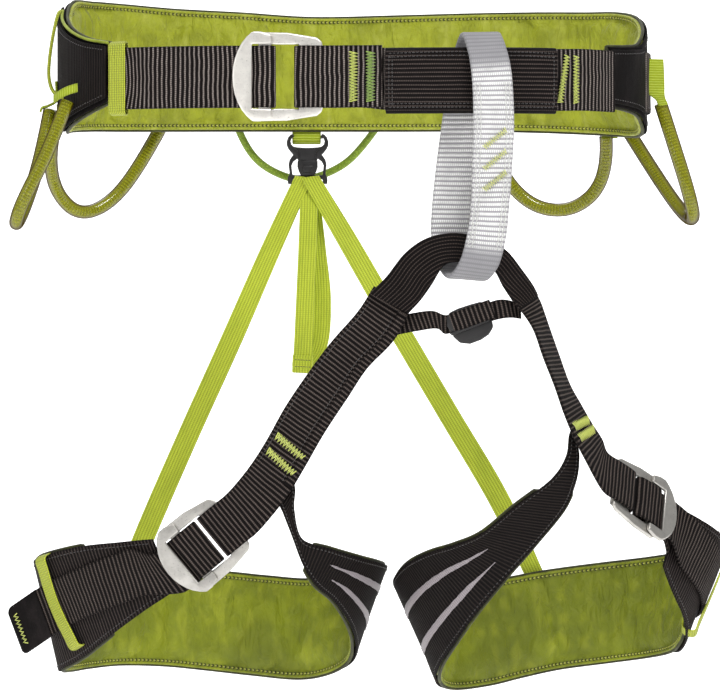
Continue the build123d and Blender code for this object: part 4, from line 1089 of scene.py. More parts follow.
def alloy(lift=1.0, name="satin_buckle_alloy"):
    def tone(r, g, b):
        return srgb(min(250, r * lift), min(250, g * lift), min(250, b * lift))

    k = Mat(name, tone(190, 187, 182), 0.34, Metallic=0.9, Coat_Weight=0.12, Coat_Roughness=0.35)
    p = k.obj()
    brushed = k.noise(k.scaled(p, (1.0, 1.0, 5.0)), 420.0, 3.0, 0.6)
    spots = k.noise(p, 900.0, 2.0, 0.5)
    dull = k.noise(p, 70.0, 4.0, 0.6)
    col = k.mix(k.range(dull, 0.35, 0.7, 0.0, 0.45), tone(200, 197, 191), tone(142, 138, 134))
    col = k.mix(k.range(spots, 0.60, 0.80, 0.0, 0.6), col, tone(112, 108, 105))
    rough = k.math("ADD", k.range(brushed, 0.3, 0.7, 0.30, 0.42, soft=False), k.range(dull, 0.4, 0.7, 0.0, 0.10))
    h = k.math("MULTIPLY_ADD", spots, 0.5, brushed)
    return k.done(col, rough, k.bump(h, 0.00006))


def plastic(name, base, rough0):
    k = Mat(name, base, rough0, Specular_IOR_Level=0.5)
    p = k.obj()
    grain = k.noise(p, 2400.0, 2.0, 0.5)
    wear = k.noise(p, 160.0, 4.0, 0.6)
    col = k.mix(k.range(wear, 0.45, 0.8, 0.0, 0.35), base, tuple(min(1.0, c * 2.2 + 0.004) for c in base))
    rough = k.math("ADD", k.range(grain, 0.3, 0.7, rough0 - 0.08, rough0 + 0.08, soft=False), k.range(wear, 0.5, 0.8, 0.0, 0.12))
    return k.done(col, rough, k.bump(grain, 0.00008))


m_alloy = alloy()
# the same satin alloy with its colours lifted: painted light on the waist buckle
m_alloy_painted_lit = alloy(1.22, "buckle_alloy_painted_lit")
m_plastic = plastic("moulded_black_plastic", srgb(20, 18, 19), 0.40)


def reflective():
    k = Mat("woven_reflective_grey", srgb(170, 166, 168), 0.45, Sheen_Weight=0.3, Sheen_Roughness=0.3, Specular_IOR_Level=0.6)
    u, v, uv = k.uv()
    a = k.wave(v, 0.0016)
    b = k.wave(u, 0.0007)
    fine = k.noise(k.obj(), 1500.0, 3.0)
    col = k.mix(k.range(a, 0.0, 0.5, 0.6, 0.0), srgb(146, 137, 141), srgb(96, 89, 93))
    col = k.mix(k.range(fine, 0.4, 0.75, 0.0, 0.4), col, srgb(172, 164, 168))
    return k.done(col, k.range(fine, 0.3, 0.7, 0.35, 0.55), k.bump(k.math("MULTIPLY_ADD", b, 0.3, a), 0.0002))


m_reflect = reflective()


def clear_tube():
    k = Mat("clear_olive_tube", srgb(112, 104, 22), 0.14, Specular_IOR_Level=0.36, Coat_Weight=0.8, Coat_Roughness=0.04, Coat_IOR=1.38)
    lw = k.new("ShaderNodeLayerWeight")
    lw.inputs["Blend"].default_value = 0.5
    haze = k.noise(k.obj(), 120.0, 3.0)
    facing_out = lw.outputs["Facing"]
    edge = k.range(facing_out, 0.12, 0.60)
    col = k.mix(edge, srgb(160, 160, 26), srgb(74, 62, 14))
    # the gloss sits on the side that faces out and fades before the outline
    k.set("Specular IOR Level", k.range(facing_out, 0.30, 0.72, 0.5, 0.0))
    k.set("Coat Weight", k.range(facing_out, 0.30, 0.72, 1.0, 0.0))
    # the clear core of the view stays open, the wall closes towards the outline
    k.set("Alpha", k.math("ADD", k.range(facing_out, 0.06, 0.52, 0.42, 1.0), k.range(haze, 0.45, 0.8, 0.0, 0.10), clamp=True))
    fine = k.noise(k.obj(), 500.0, 2.0)
    return k.done(col, k.range(fine, 0.3, 0.7, 0.10, 0.22), k.bump(haze, 0.0001, 0.4))


m_tube = clear_tube()
m_core = webbing("lime_tube_core", srgb(96, 98, 6), srgb(204, 206, 52), pitch=0.0022, rib_from=0.30, rib_to=0.90, rib_mix=0.85, depth=0.0005, across_pitch=0.0016, edge_dark=0.6)
m_cord = webbing("lime_braided_cord", srgb(158, 190, 30), srgb(204, 232, 84), pitch=0.0021, rib_from=0.4, rib_to=0.95, rib_mix=0.5, depth=0.0003, across_pitch=0.0022, edge_dark=0.0)


# ---- small numeric helpers for fabric ------------------------------------------
def vnoise(u, v, seed=0):
    """Smooth value noise, -1..1, vectorised and repeatable."""
    u, v = np.broadcast_arrays(np.asarray(u, float), np.asarray(v, float))
    iu, iv = np.floor(u), np.floor(v)
    fu, fv = u - iu, v - iv
    fu, fv = fu * fu * (3 - 2 * fu), fv * fv * (3 - 2 * fv)

    def h(a, b):
        x = np.sin(a * 127.1 + b * 311.7 + seed * 74.7) * 43758.5453
        return 2 * (x - np.floor(x)) - 1

    top = h(iu, iv) * (1 - fu) + h(iu + 1, iv) * fu
    bot = h(iu, iv + 1) * (1 - fu) + h(iu + 1, iv + 1) * fu
    return top * (1 - fv) + bot * fv


def direct(rows, closed=False):
    new = Band.__new__(Band)
    new.closed = closed
    new.rows = np.array(rows, float)
    new.where = np.arange(len(rows), dtype=float)
    return new.finish()


def from_table(rows, s0, s1, per=16):
    """A strip that follows the table's own curve; where keeps the table's row numbers."""
    k = max(4, int(round((s1 - s0) * per)))
    b = direct(sample(rows, s0, s1, k))
    b.where = np.linspace(s0, s1, k + 1)
    return b


def band_part(name, band, t, mat, body, slot, *nodes, **kw):
    return put(band_mesh(name, band, t, mat, **kw), body, slot, *nodes)


def threads_on(name, items, mat, body, slot="lime_thread", **kw):
    return put(threads(name, items, mat, **kw), body, slot)


def facing(band, s, direction):
    """+1 when the strip's normal side looks along direction at s."""
    return 1 if float(np.dot(band.normal(s), np.array(direction, float))) > 0 else -1


def tack(name, p0, p1, normal, width, mat=None, pitch=2.0, radius=0.46, seed=0, pale=True):
    path = zigzag(p0, p1, normal, width, pitch, radius, seed=seed)
    one = tube_mesh(name, path, radius, mat or m_thread_lime, sides=6)
    if not pale:
        return one
    # the second row of the same zigzag lies half a stitch off, in the bright thread; the two tones of one thread are
    # painted highlight on top and painted shade below
    d = unit(sub(p1, p0))
    w = cross(d, unit(normal))
    mv = add(add(mul(w, -width * 0.22), d, pitch * 0.5), unit(normal), radius * 1.1)
    two = tube_mesh(name + "_b", zigzag(add(p0, mv), add(add(p1, mv), d, -pitch * 0.5), normal, width * 0.55, pitch, radius * 0.9, seed=seed + 3), radius * 0.9, m_thread, sides=6)
    return join(name, [one, two])


EDGE_COLS = ([0.0, 0.7, 1.4, 2.2, 3.0, 3.9, 5.2, 7.0, 9.2], 18)

# ---- waist belt --------------------------------------------------------------------
belt_rows = [(x, y, lo, x, y, hi) for x, y, lo, hi in BELT]
NB = len(BELT) - 1
belt = from_table(belt_rows, 0, NB, 26)
shell_off = -(PAD_T / 2 + GAP + SHELL_T / 2)
band_off = shell_off - SHELL_T / 2 - GAP - 1.0
Z0, Z1 = -7.1 - WAIST_WEB_W / 2, -7.1 + WAIST_WEB_W / 2


def pad_profile(half, rim=1.25, groove=0.95, rise=11.0):
    def f(S, x, W):
        e = np.minimum(x, W - x)
        base = groove + (half - groove) * smooth(e, 3.2, 3.2 + rise)
        return base + (rim - groove) * np.exp(-((e - 1.0) / 1.0) ** 2)
    return f


def lining_disp(side_of_lining, amp=1.0, seed=0, pitch=17.0, thread_pitch=2.6):
    def f(S, x, W, side):
        e = np.minimum(x, W - x)
        mask = smooth(e, 2.8, 9.0)
        pucker = 0.18 * np.cos(2 * np.pi * S / thread_pitch) * np.exp(-((e - 3.0) / 1.4) ** 2)
        if side != side_of_lining:
            return 0.12 * vnoise(S / 21, x / 25, seed + 5) * mask
        a = 0.55 * vnoise(S / (pitch * 0.55), x / 40 + 3.3, seed)
        b = 0.42 * vnoise(S / 6.5 + 0.25 * vnoise(S / 20, x / 20, seed + 2), x / 17, seed + 1)
        c = 0.18 * vnoise(S / 3.1, x / 7, seed + 3)
        gather = 0.35 * vnoise(S / 4.2, 0 * x, seed + 4) * np.exp(-((e - 6.0) / 4.0) ** 2)
        return amp * ((a + b + c) * mask + gather) + pucker
    return f


def column_x(W, er, cols):
    """Distances across a strip: fine near both edges, even between."""
    edges, mid = cols
    E = [er * 0 + q for q in edges]
    last = E[-1]
    out = [np.full_like(W, q) for q in E]
    for k in range(1, mid):
        out.append(last + (W - 2 * last) * k / mid)
    out += [W - q for q in reversed(E)]
    return out


def swell(pts, us, W, d_end, normals, c, lining, pressure=2.6, slack=0.06, frames=16, cap=2.1):
    """The lining as cloth: sewn down round the outline, blown up from inside with a little too much
    fabric, so it settles in its own creases. Gives heights in mm along the pad's normals."""
    n, m, _ = pts.shape
    ri = np.unique(np.r_[np.arange(0, n, 3), n - 1])
    ci = np.arange(0, m, 2)
    P = pts[ri][:, ci] / 1000.0
    a, b = len(ri), len(ci)
    faces = [(i * b + q, (i + 1) * b + q, (i + 1) * b + (q + 1) % b, i * b + (q + 1) % b) for i in range(a - 1) for q in range(b)]
    faces += [tuple(range(b)), tuple((a - 1) * b + q for q in reversed(range(b)))]
    mesh = bpy.data.meshes.new("lining_cloth")
    mesh.from_pydata([tuple(p) for p in P.reshape(-1, 3)], [], faces)
    mesh.update()
    obj = bpy.data.objects.new("lining_cloth", mesh)
    bpy.context.scene.collection.objects.link(obj)
    edge = np.minimum(us, W[:, None] - us)[ri][:, ci]
    front = (ci > 0) & (ci < c - 1) if lining > 0 else (ci > c - 1)
    free = front[None, :] & (edge > 3.8) & (d_end[ri][:, None] > 4.0)
    held = obj.vertex_groups.new(name="held")
    held.add([int(i) for i in np.nonzero(~free.reshape(-1))[0]], 1.0, "REPLACE")
    mod = obj.modifiers.new("cloth", "CLOTH")
    st = mod.settings
    st.quality = 6
    st.mass = 0.12
    st.tension_stiffness = 10.0
    st.compression_stiffness = 10.0
    st.shear_stiffness = 5.0
    st.bending_stiffness = 0.02
    st.tension_damping = 8.0
    st.compression_damping = 8.0
    st.vertex_group_mass = "held"
    st.use_pressure = True
    st.uniform_pressure_force = pressure
    st.shrink_min = -slack
    st.shrink_max = -slack
    st.effector_weights.gravity = 0.0
    mod.collision_settings.use_collision = False
    mod.point_cache.frame_start = 1
    mod.point_cache.frame_end = frames + 2
    scene = bpy.context.scene
    for f in range(1, frames + 1):
        scene.frame_set(f)
    ev = obj.evaluated_get(bpy.context.evaluated_depsgraph_get())
    co = np.zeros(a * b * 3, np.float32)
    ev.data.vertices.foreach_get("co", co)
    d = (co.reshape(a, b, 3).astype(float) - P) * 1000.0
    h = np.einsum("ijk,ik->ij", d, normals[ri])
    h = np.where(free & np.isfinite(h), h, 0.0)
    h = cap * np.tanh(h / cap)
    bpy.data.objects.remove(obj)
    bpy.data.meshes.remove(mesh)
    scene.frame_set(1)
    rows = np.stack([np.interp(np.arange(n), ri, h[:, q]) for q in range(b)], axis=1)
    wrap = np.concatenate([rows, rows[:, :1]], axis=1)
    at = np.r_[ci, m]
    full = np.stack([np.interp(np.arange(m), at, wrap[i]) for i in range(n)])
    print("cloth", a * b, "points, height", round(float(full.min()), 2), "to", round(float(full.max()), 2), "mm")
    return full


def pad_mesh(name, band, t, mat, lining, cols=EDGE_COLS, amp=1.0, seed=0, end_round=6.0, half=None, quilt=None, cap=2.1):
    """A closed pad with stitched-down edges, a crowned middle and a creased lining."""
    half = half or t / 2
    prof = pad_profile(half)
    disp = lining_disp(lining, amp, seed)
    S, W = band.s, band.w_len
    n = len(S)
    xs = column_x(W, 0, cols)
    c = len(xs)
    # both ends close down like the edges
    d_end = np.minimum(S, S[-1] - S)
    verts = []
    ring = [(j, 1) for j in range(c)] + [(j, -1) for j in range(c - 2, 0, -1)]
    m = len(ring)
    pts = np.zeros((n, m, 3))
    us = np.zeros((n, m))
    for q, (j, side) in enumerate(ring):
        x = xs[j]
        e2 = np.minimum(np.minimum(x, W - x), d_end + 0.4)
        mock = np.where(x <= W / 2, e2, W - e2)
        h = prof(S, mock, W)
        if j in (0, c - 1):
            h = h * 0.0
        if quilt is not None and side == lining and j not in (0, c - 1):
            h = h + quilt(S, x, W)
        h = side * h + side * disp(S, np.minimum(x, W), W, side) * smooth(d_end, 0.0, 8.0) * (0.0 if j in (0, c - 1) else 1.0)
        pts[:, q, :] = band.a + band.w * x[:, None] + band.n * h[:, None]
        us[:, q] = x
    pts = pts + band.n[:, None, :] * swell(pts, us, W, d_end, band.n, c, lining, cap=cap)[:, :, None]
    faces, uv = [], []
    for i in range(n - 1):
        for q in range(m):
            q2 = (q + 1) % m
            faces.append((i * m + q, (i + 1) * m + q, (i + 1) * m + q2, i * m + q2))
            uv += [(us[i, q] / 1000, S[i] / 1000), (us[i + 1, q] / 1000, S[i + 1] / 1000), (us[i + 1, q2] / 1000, S[i + 1] / 1000), (us[i, q2] / 1000, S[i] / 1000)]
    for i, rev in ((0, False), (n - 1, True)):
        top = [i * m + j for j in range(c)]
        bot = [i * m] + [i * m + m - j for j in range(1, c - 1)] + [i * m + c - 1]
        for j in range(c - 1):
            p = [top[j], top[j + 1], bot[j + 1], bot[j]]
            seen = []
            for v in p:
                if v not in seen:
                    seen.append(v)
            if rev:
                seen = seen[::-1]
            faces.append(tuple(seen))
            uv += [(us[i, v % m] / 1000, S[i] / 1000) for v in seen]
    edge = np.minimum(us, W[:, None] - us).reshape(-1)
    return raw_mesh(name, pts.reshape(-1, 3), faces, mat, uv, {"edge": edge}, 60.0)


def edge_line(band, f, h=0.0, x=0.0):
    """The line along one edge of a strip, x mm outside it."""
    side = band.a if f == 0 else band.b
    out = band.w * (-x if f == 0 else x)
    return side + out + band.n * h


def piping(name, band, mat, radius=1.25, ends=True, h=0.0, out=0.2):
    a = edge_line(band, 0, h, out)
    b = edge_line(band, 1, h, out)
    if ends:
        # round the corners of the outline
        loop = list(a) + [band.at(band.s[-1], f, h) for f in np.linspace(0.06, 0.94, 12)] + list(b[::-1]) + [band.at(0.0, f, h) for f in np.linspace(0.94, 0.06, 12)]
        return tube_mesh(name, np.array(loop), radius, mat, sides=8, closed=True)
    return join(name, [tube_mesh(name + "_a", a, radius, mat, sides=8), tube_mesh(name + "_b", b, radius, mat, sides=8)])


belt_pad = pad_mesh("belt_padded_lining", belt, PAD_T, m_lining, 1, amp=1.9, seed=3)
put(belt_pad, "waist_belt", "lime_lining", "belt_pad")
put(piping("belt_edge_piping", belt, m_piping, 1.15, h=-1.6), "waist_belt", "black_fabric")


def seam_on(name, band, body, side=1, h=1.0, ends=6.0):
    """Bright lockstitches; the holes between them are dark from the painted shade in the lining's seam."""
    items = []
    for d in (2.9, -2.9):
        k = int((band.length - 2 * ends) / 2.7)
        start = 2.7 * math.ceil(ends / 2.7) + 1.35
        for i in range(k - 1):
            s0 = start + i * 2.7
            w = band.width(s0)
            g = d / w if d >= 0 else 1 + d / w
            items.append((band.at(s0, g, h * side), band.along(s0), band.normal(s0) * side, 1.45))
    threads_on(name, items, m_thread_gold, body, width=1.0, height=0.6)


seam_on("belt_lining_stitches", belt, "waist_belt")

shell = belt.shifted(shell_off).trimmed(0.2, 0.2)
band_part("belt_shell_fabric", shell, SHELL_T, m_fabric, "waist_belt", "black_fabric", "belt_outer_shell", cols=24,
          disp=lambda S, x, W, side: 0.25 * vnoise(S / 16, x / 22, 11) * smooth(np.minimum(x, W - x), 1, 8))
items = run(shell, 0, 6, shell.length - 6, 0.85, 2.7, 1.8, dist=4.4, side=-1) + run(shell, 0, 6, shell.length - 6, 0.85, 2.7, 1.8, dist=-4.4, side=-1)
threads_on("belt_shell_stitches", items, m_thread_dark, "waist_belt", width=0.7, height=0.4)

rear = from_table(belt_rows, 1.2, NB - 1.2 - 1.0, 26)
rear = direct(np.array([(r[0], r[1], -26.0, r[3], r[4], 14.0) for r in rear.rows]))
rear = rear.shifted(band_off)
band_part("waist_rear_webbing", rear, 1.8, m_web, "waist_belt", "black_webbing", "waist_webbing_rear", cols=14,
          disp=lambda S, x, W, side: 0.12 * vnoise(S / 30, x / 14, 4))
items = run(rear, 0, 4, rear.length - 4, 1.0, 2.9, 2.0, dist=3.2, side=-1) + run(rear, 0, 4, rear.length - 4, 1.0, 2.9, 2.0, dist=-3.2, side=-1)
threads_on("waist_rear_webbing_stitches", items, m_thread_dark, "waist_belt", width=0.75, height=0.4)

for key, s0, s1 in (("right", 0.0, 3.9), ("left", NB - 2.1, NB)):
    e = from_table(belt_rows, s0, s1, 26)
    e = direct(np.array([(r[0], r[1], r[2] + 2, r[3], r[4], r[5] - 2) for r in e.rows])).shifted(band_off - (1.5 if key == "right" else 0.0))
    band_part("belt_end_%s_panel" % key, e, 1.5, m_inner if key == "right" else m_smooth, "waist_belt", "black_fabric", "belt_end_" + key, cols=16)
    items = run(e, 0, 2, e.length - 2, 0.85, 2.6, 1.8, dist=2.6, side=-1) + run(e, 0, 2, e.length - 2, 0.85, 2.6, 1.8, dist=-2.6, side=-1)
    threads_on("belt_end_%s_stitches" % key, items, m_thread_dark, "waist_belt", width=0.7, height=0.4)
    if key == "right":
        top_edge = e.cut(0, e.row(e.where[-1]) * 1.0)
        line = np.array([belt.at(belt.row(q), 1.0, shell_off - 1.2) + np.array([0, 0, 0.3]) for q in np.linspace(0.02, 3.4, 60)])
        put(tube_mesh("belt_end_right_seam_piping", line, 1.05, m_piping_lime, sides=8), "waist_belt", "lime_lining")

loop_pts = [(-193.5, 16.0, 40.0), (-196.8, 4.0, 46.0), (-200.0, -5.0, 32.0), (-203.0, -10.0, 12.0), (-203.6, -14.0, -4.0), (-199.0, -20.0, -15.0), (-192.0, -26.0, -17.0)]
put(tube_mesh("belt_end_right_elastic_loop", quad_curve(loop_pts, 10), 1.25, m_keeper, sides=8), "waist_belt", "lime_elastic")

# adjusting webbing
under = [(-157.5, -71.5), (-148.0, -78.0), (-134.0, -84.5), (-118.0, -90.0), (-100.0, -94.6), (-84.0, -96.6)]
tail = [(-84.0, -100.1), (-100.6, -98.1), (-119.0, -93.5), (-135.5, -88.0), (-149.8, -81.3), (-157.0, -76.5)]
path = vertical(under, Z0, Z1)
path += over_buckle("waist", [(-27, -3.2), (-5.2, -3.2), (-3.2, -2.4), (-2.3, 0.0), (-3.2, 2.3), (-5.2, 2.9), (-12.5, 2.9), (-15.3, 0.5), (-19, 0.1), (-29, 0.1)])
path += vertical(tail, Z0, Z1)
adj = Band(path, step=1.3)
s_keep = adj.length - 7.0


def adj_bend(S, x, W):
    # the tail's ribs bow towards the keeper that draws it together
    q = np.exp(-((S - s_keep) / 13.0) ** 2)
    return q * 3.2 * (1 - (2 * x / W - 1) ** 2)


band_part("waist_adjusting_webbing", adj, WEB_T, m_web, "waist_belt", "black_webbing", "waist_adjust_webbing", cols=16, vbend=adj_bend,
          disp=lambda S, x, W, side: 0.10 * vnoise(S / 24, x / 13, 8))

# fixed webbing
inner = [(-10.0, -98.6), (5.0, -100.8), (19.0, -103.2), (35.0, -105.6), (55.0, -107.0), (75.0, -107.6), (100.0, -106.4), (118.0, -103.6), (133.0, -98.8), (147.0, -91.4), (158.0, -82.6), (168.5, -71.0)]
top = [(17.5, -106.7), (3.0, -105.2), (-12.0, -103.7)]
dips = [0, 0, -1.5, -2.5, -3, -3, -3, -2.5, -2, -1.5, -1.5, -1.5]
path = vertical(top, Z0, Z1)
path += over_buckle("waist", [(27, 2.9), (14.6, 2.9), (12.4, 2.4), (11.4, 0.0), (12.4, -2.4), (14.6, -2.9), (28, -2.9)])
path += [(x, y, Z0 + d, x, y, Z1 + d) for (x, y), d in zip(inner, dips)]
fixed = Band(path, step=1.3)
band_part("waist_fixed_web", fixed, WEB_T, m_web, "waist_belt", "black_webbing", "waist_fixed_webbing", cols=16,
          disp=lambda S, x, W, side: 0.10 * vnoise(S / 24, x / 13, 9))

# sleeve over the webbing, where the rope ties in
slv = [(x, y) for x, y in inner if 18 < x < 134]
slv[0], slv[-1] = (20.2, -103.4), (129.0, -100.3)
slv_band = Band(vertical(slv, -31.2, 11.4), step=1.6)
band_part("tie_in_sleeve_tube", slv_band, WEB_T + 2 * (GAP + SLEEVE_WALL), m_smooth, "waist_belt", "black_fabric", "tie_in_sleeve", cols=18, edge=2.4)
back_rows = [(x, y, -29.5, x, y, 9.4 + 1.2 * math.sin(math.pi * i / (len(slv) - 1))) for i, (x, y) in enumerate(slv)]
front = Band(back_rows, step=1.6).shifted(WEB_T / 2 + GAP + SLEEVE_WALL + GAP + 0.8)
band_part("tie_in_sleeve_cover", front, 1.6, m_sleeve, "waist_belt", "black_webbing", "tie_in_backing", cols=18,
          disp=lambda S, x, W, side: 0.12 * vnoise(S / 14, x / 12, 21))
items = []
for d in (2.2, 4.6, -2.2, -4.6):
    items += run(front, 0, 2.0, front.length - 2.0, 0.95, 2.5, 1.8, dist=d)
for s in (2.4, 4.6, front.length - 2.4):
    items += across(front, s, 0.08, 0.92, 0.95, 2.5, 1.8)
threads_on("tie_in_sleeve_stitches", items, m_thread_dark, "waist_belt", width=0.7, height=0.42)

# bar tacks on the waist webbing
tacks = []
for i, (x, y, w) in enumerate(((-0.85, -104.9, 5.8), (10.3, -105.95, 6.2))):
    y1 = y - WEB_T / 2 - 0.15
    tacks.append(tack("t%d" % i, (x, y1, -23.4), (x, y1, 8.6), (0.1, -1, 0), w, mat=m_thread_lime if i == 0 else m_thread_green, pitch=1.9, radius=0.38, seed=i))
for i, (x, y, lean, w) in enumerate(((134.0, -98.4, 2.4, 4.6), (142.3, -94.0, 0.0, 4.4))):
    n = unit((0.47, -0.88, 0))
    c = add((x, y, 0), n, WEB_T / 2 + 0.2)
    tacks.append(tack("t%d" % (i + 2), (c[0] - lean, c[1] - lean * 0.5, -24.0), (c[0] + lean, c[1] + lean * 0.5, 6.6), n, w, mat=m_thread_lime, pitch=2.0, radius=0.38, seed=i + 4))
put(join("waist_bar_tacks", tacks), "waist_belt", "lime_thread", "waist_bartacks")

# keeper: one elastic loop round both layers of the adjusting webbing
kp = [(-160.0, -76.9), (-154.4, -80.6), (-149.0, -83.9)]
kb = [(-155.6, -70.3), (-151.5, -73.3), (-147.2, -76.3)]
front_rows = [(kp[0][0], kp[0][1], z, kp[2][0], kp[2][1], z) for z in (-29.0, -20.0, -7.0, 6.0, 15.0)]
back_rows = [(kb[0][0], kb[0][1], z, kb[2][0], kb[2][1], z) for z in (15.0, 6.0, -7.0, -20.0, -29.0)]
mid_hi = [tuple((a + b) / 2 for a, b in zip(front_rows[-1], back_rows[0]))]
mid_lo = [tuple((a + b) / 2 for a, b in zip(front_rows[0], back_rows[-1]))]
mid_hi = [(mid_hi[0][0], mid_hi[0][1], 16.6, mid_hi[0][3], mid_hi[0][4], 16.6)]
mid_lo = [(mid_lo[0][0], mid_lo[0][1], -30.6, mid_lo[0][3], mid_lo[0][4], -30.6)]
keep = Band(front_rows + mid_hi + back_rows + mid_lo, closed=True, step=1.2)
band_part("waist_keeper_loop", keep, ELASTIC_T, m_keeper, "waist_belt", "lime_elastic", "waist_keeper", cols=8)

# buckles: plates with rounded edges
for name, body, slider in (("waist", "waist_belt", "waist_slider"), ("right_leg", "right_leg_loop", "right_leg_slider"), ("left_leg", "left_leg_loop", "left_leg_slider")):
    # the waist buckle takes the alloy with colours lifted as painted light
    metal = m_alloy_painted_lit if name == "waist" else m_alloy
    put(bevelled(name + "_buckle_frame", 0.95, metal, 4), body, "buckle_alloy", name + "_buckle_frame")
    put(bevelled(name + "_buckle_slider", 1.05, metal, 4), slider, "buckle_alloy", name + "_buckle_slider")

# ---- belay loop, bridge, cross strap -----------------------------------------------
belay = Band(BELAY, closed=True, step=1.5)
z_mid = (belay.a[:, 2] + belay.b[:, 2]) / 2
y_mid = (belay.a[:, 1] + belay.b[:, 1]) / 2
# smooth, worn skin where the loop runs over the waist webbing and the bridge
s_top0, s_top1 = belay.row(16.2), belay.row(1.9)
s_bot0, s_bot1 = belay.row(6.35), belay.row(9.6)


def belay_wear(s, u, W):
    z = float(np.interp(s, belay.s, z_mid))
    return 0.86 * max(float(smooth(z, -9.0, 4.0)), float(smooth(-z, 111.0, 124.0)))


bl = band_mesh("belay_loop_webbing", belay, BELAY_T, m_belay, cols=12, attrs={"wear": belay_wear},
               disp=lambda S, x, W, side: 0.12 * vnoise(S / 20, x / 9, 31))
put(bl, "belay_loop", "belay_webbing", "belay_loop")
tacks = []
y0 = -126.0 - BELAY_T / 2 - 0.1
for i, (lo, hi) in enumerate(((-55.0, -46.0), (-68.5, -59.5), (-82.0, -73.0))):
    tacks.append(tack("b%d" % i, (82.6, y0, lo + 1.0), (96.6, y0, hi + 3.4), (0, -1, 0), 3.8, mat=m_thread, pitch=1.6, radius=0.34, seed=i, pale=False))
put(join("belay_bar_tacks", tacks), "belay_loop", "lime_thread", "belay_bartacks")
items = []
for d0, d1 in ((1.5, 3.3), (-1.5, -3.3), (4.2, 5.4), (-4.2, -5.4)):
    items += zig_run(belay, belay.row(1.5), belay.row(6.4), d0, d1, BELAY_T / 2 + 0.12, 1.9, side=facing(belay, belay.row(4), (0, -1, 0)))
    items += zig_run(belay, belay.row(9.8), belay.row(15.8), d0, d1, BELAY_T / 2 + 0.12, 1.9, side=facing(belay, belay.row(4), (0, -1, 0)))
threads_on("belay_edge_stitches", items, m_thread_white, "belay_loop", slot="belay_webbing", width=0.7, height=0.35)

bridge = Band(BRIDGE, step=1.4)


def bridge_disp(S, x, W, side):
    return 0.30 * np.sin(2 * np.pi * x / (W / 3.0)) * (1 - smooth(np.abs(S - S[-1] / 2), 10, 60)) + 0.2 * vnoise(S / 11, x / 8, 41)


band_part("leg_bridge_sleeve", bridge, BRIDGE_T, m_bridge, "waist_belt", "black_fabric", "bridge_sleeve", cols=16, edge=2.0, disp=bridge_disp)
cross_rows = list(CROSS_R) + [(67.0, -103.8, -158.2, 68.0, -103.8, -170.2), (75.5, -103.8, -155.7, 76.5, -103.8, -167.6), (84.0, -104.0, -153.3, 85.5, -104.0, -165.3)] + list(CROSS_L)
band_part("cross_strap_web", Band(cross_rows, step=1.2), 1.6, m_web_leg, "waist_belt", "black_webbing", "cross_strap_right", "cross_strap_left", cols=8)
lock_c = LOCK_PLACE[0]
lu = unit(LOCK_PLACE[1])
lu = unit((lu[0], 0.0, lu[2]))
lv = cross((0, -1, 0), lu)
loop_rows = []
for u, n in ((-14.0, 2.4), (-8.0, 3.6), (0.0, 4.4), (8.0, 4.1), (13.5, 2.6)):
    p = add(add(lock_c, lu, u), (0, -1, 0), n)
    loop_rows.append(add(p, lv, 6.2) + add(p, lv, -6.2))
band_part("cross_strap_fold_web", Band(loop_rows, step=1.2), 1.6, m_web_leg, "waist_belt", "black_webbing", "cross_strap_fold", cols=8)
def front_xz(px, py):
    return ((px - 360.0) * 0.6427 + 3.3, (345.0 - py) * 0.6427 - 180.0)


lock_a = [front_xz(*q) for q in ((446.5, 318), (449.5, 312.5), (458, 308.5), (470, 304.5), (480, 301.8), (486.5, 303.5), (491.5, 311), (491, 317), (484, 321), (476, 324.5), (466, 329), (458, 333), (451, 332), (447, 326))]
lock_b = [front_xz(*q) for q in ((450, 326), (460, 324), (472, 320), (484, 317), (492, 320), (493.5, 327), (489, 334.5), (481, 340), (470, 344), (460, 343), (453.5, 337))]
lock_bar = [front_xz(*q) for q in ((449, 333), (452, 336), (490, 321), (489, 317))]
lock = plate("cross_ladder_lock_shape", [(lock_a, -109.4, -104.9), (lock_b, -108.6, -104.4), (lock_bar, -110.2, -107.6)], -109.0, -105.0, 1.1, m_plastic, 3)
put(lock, "waist_belt", "black_plastic", "cross_ladder_lock")

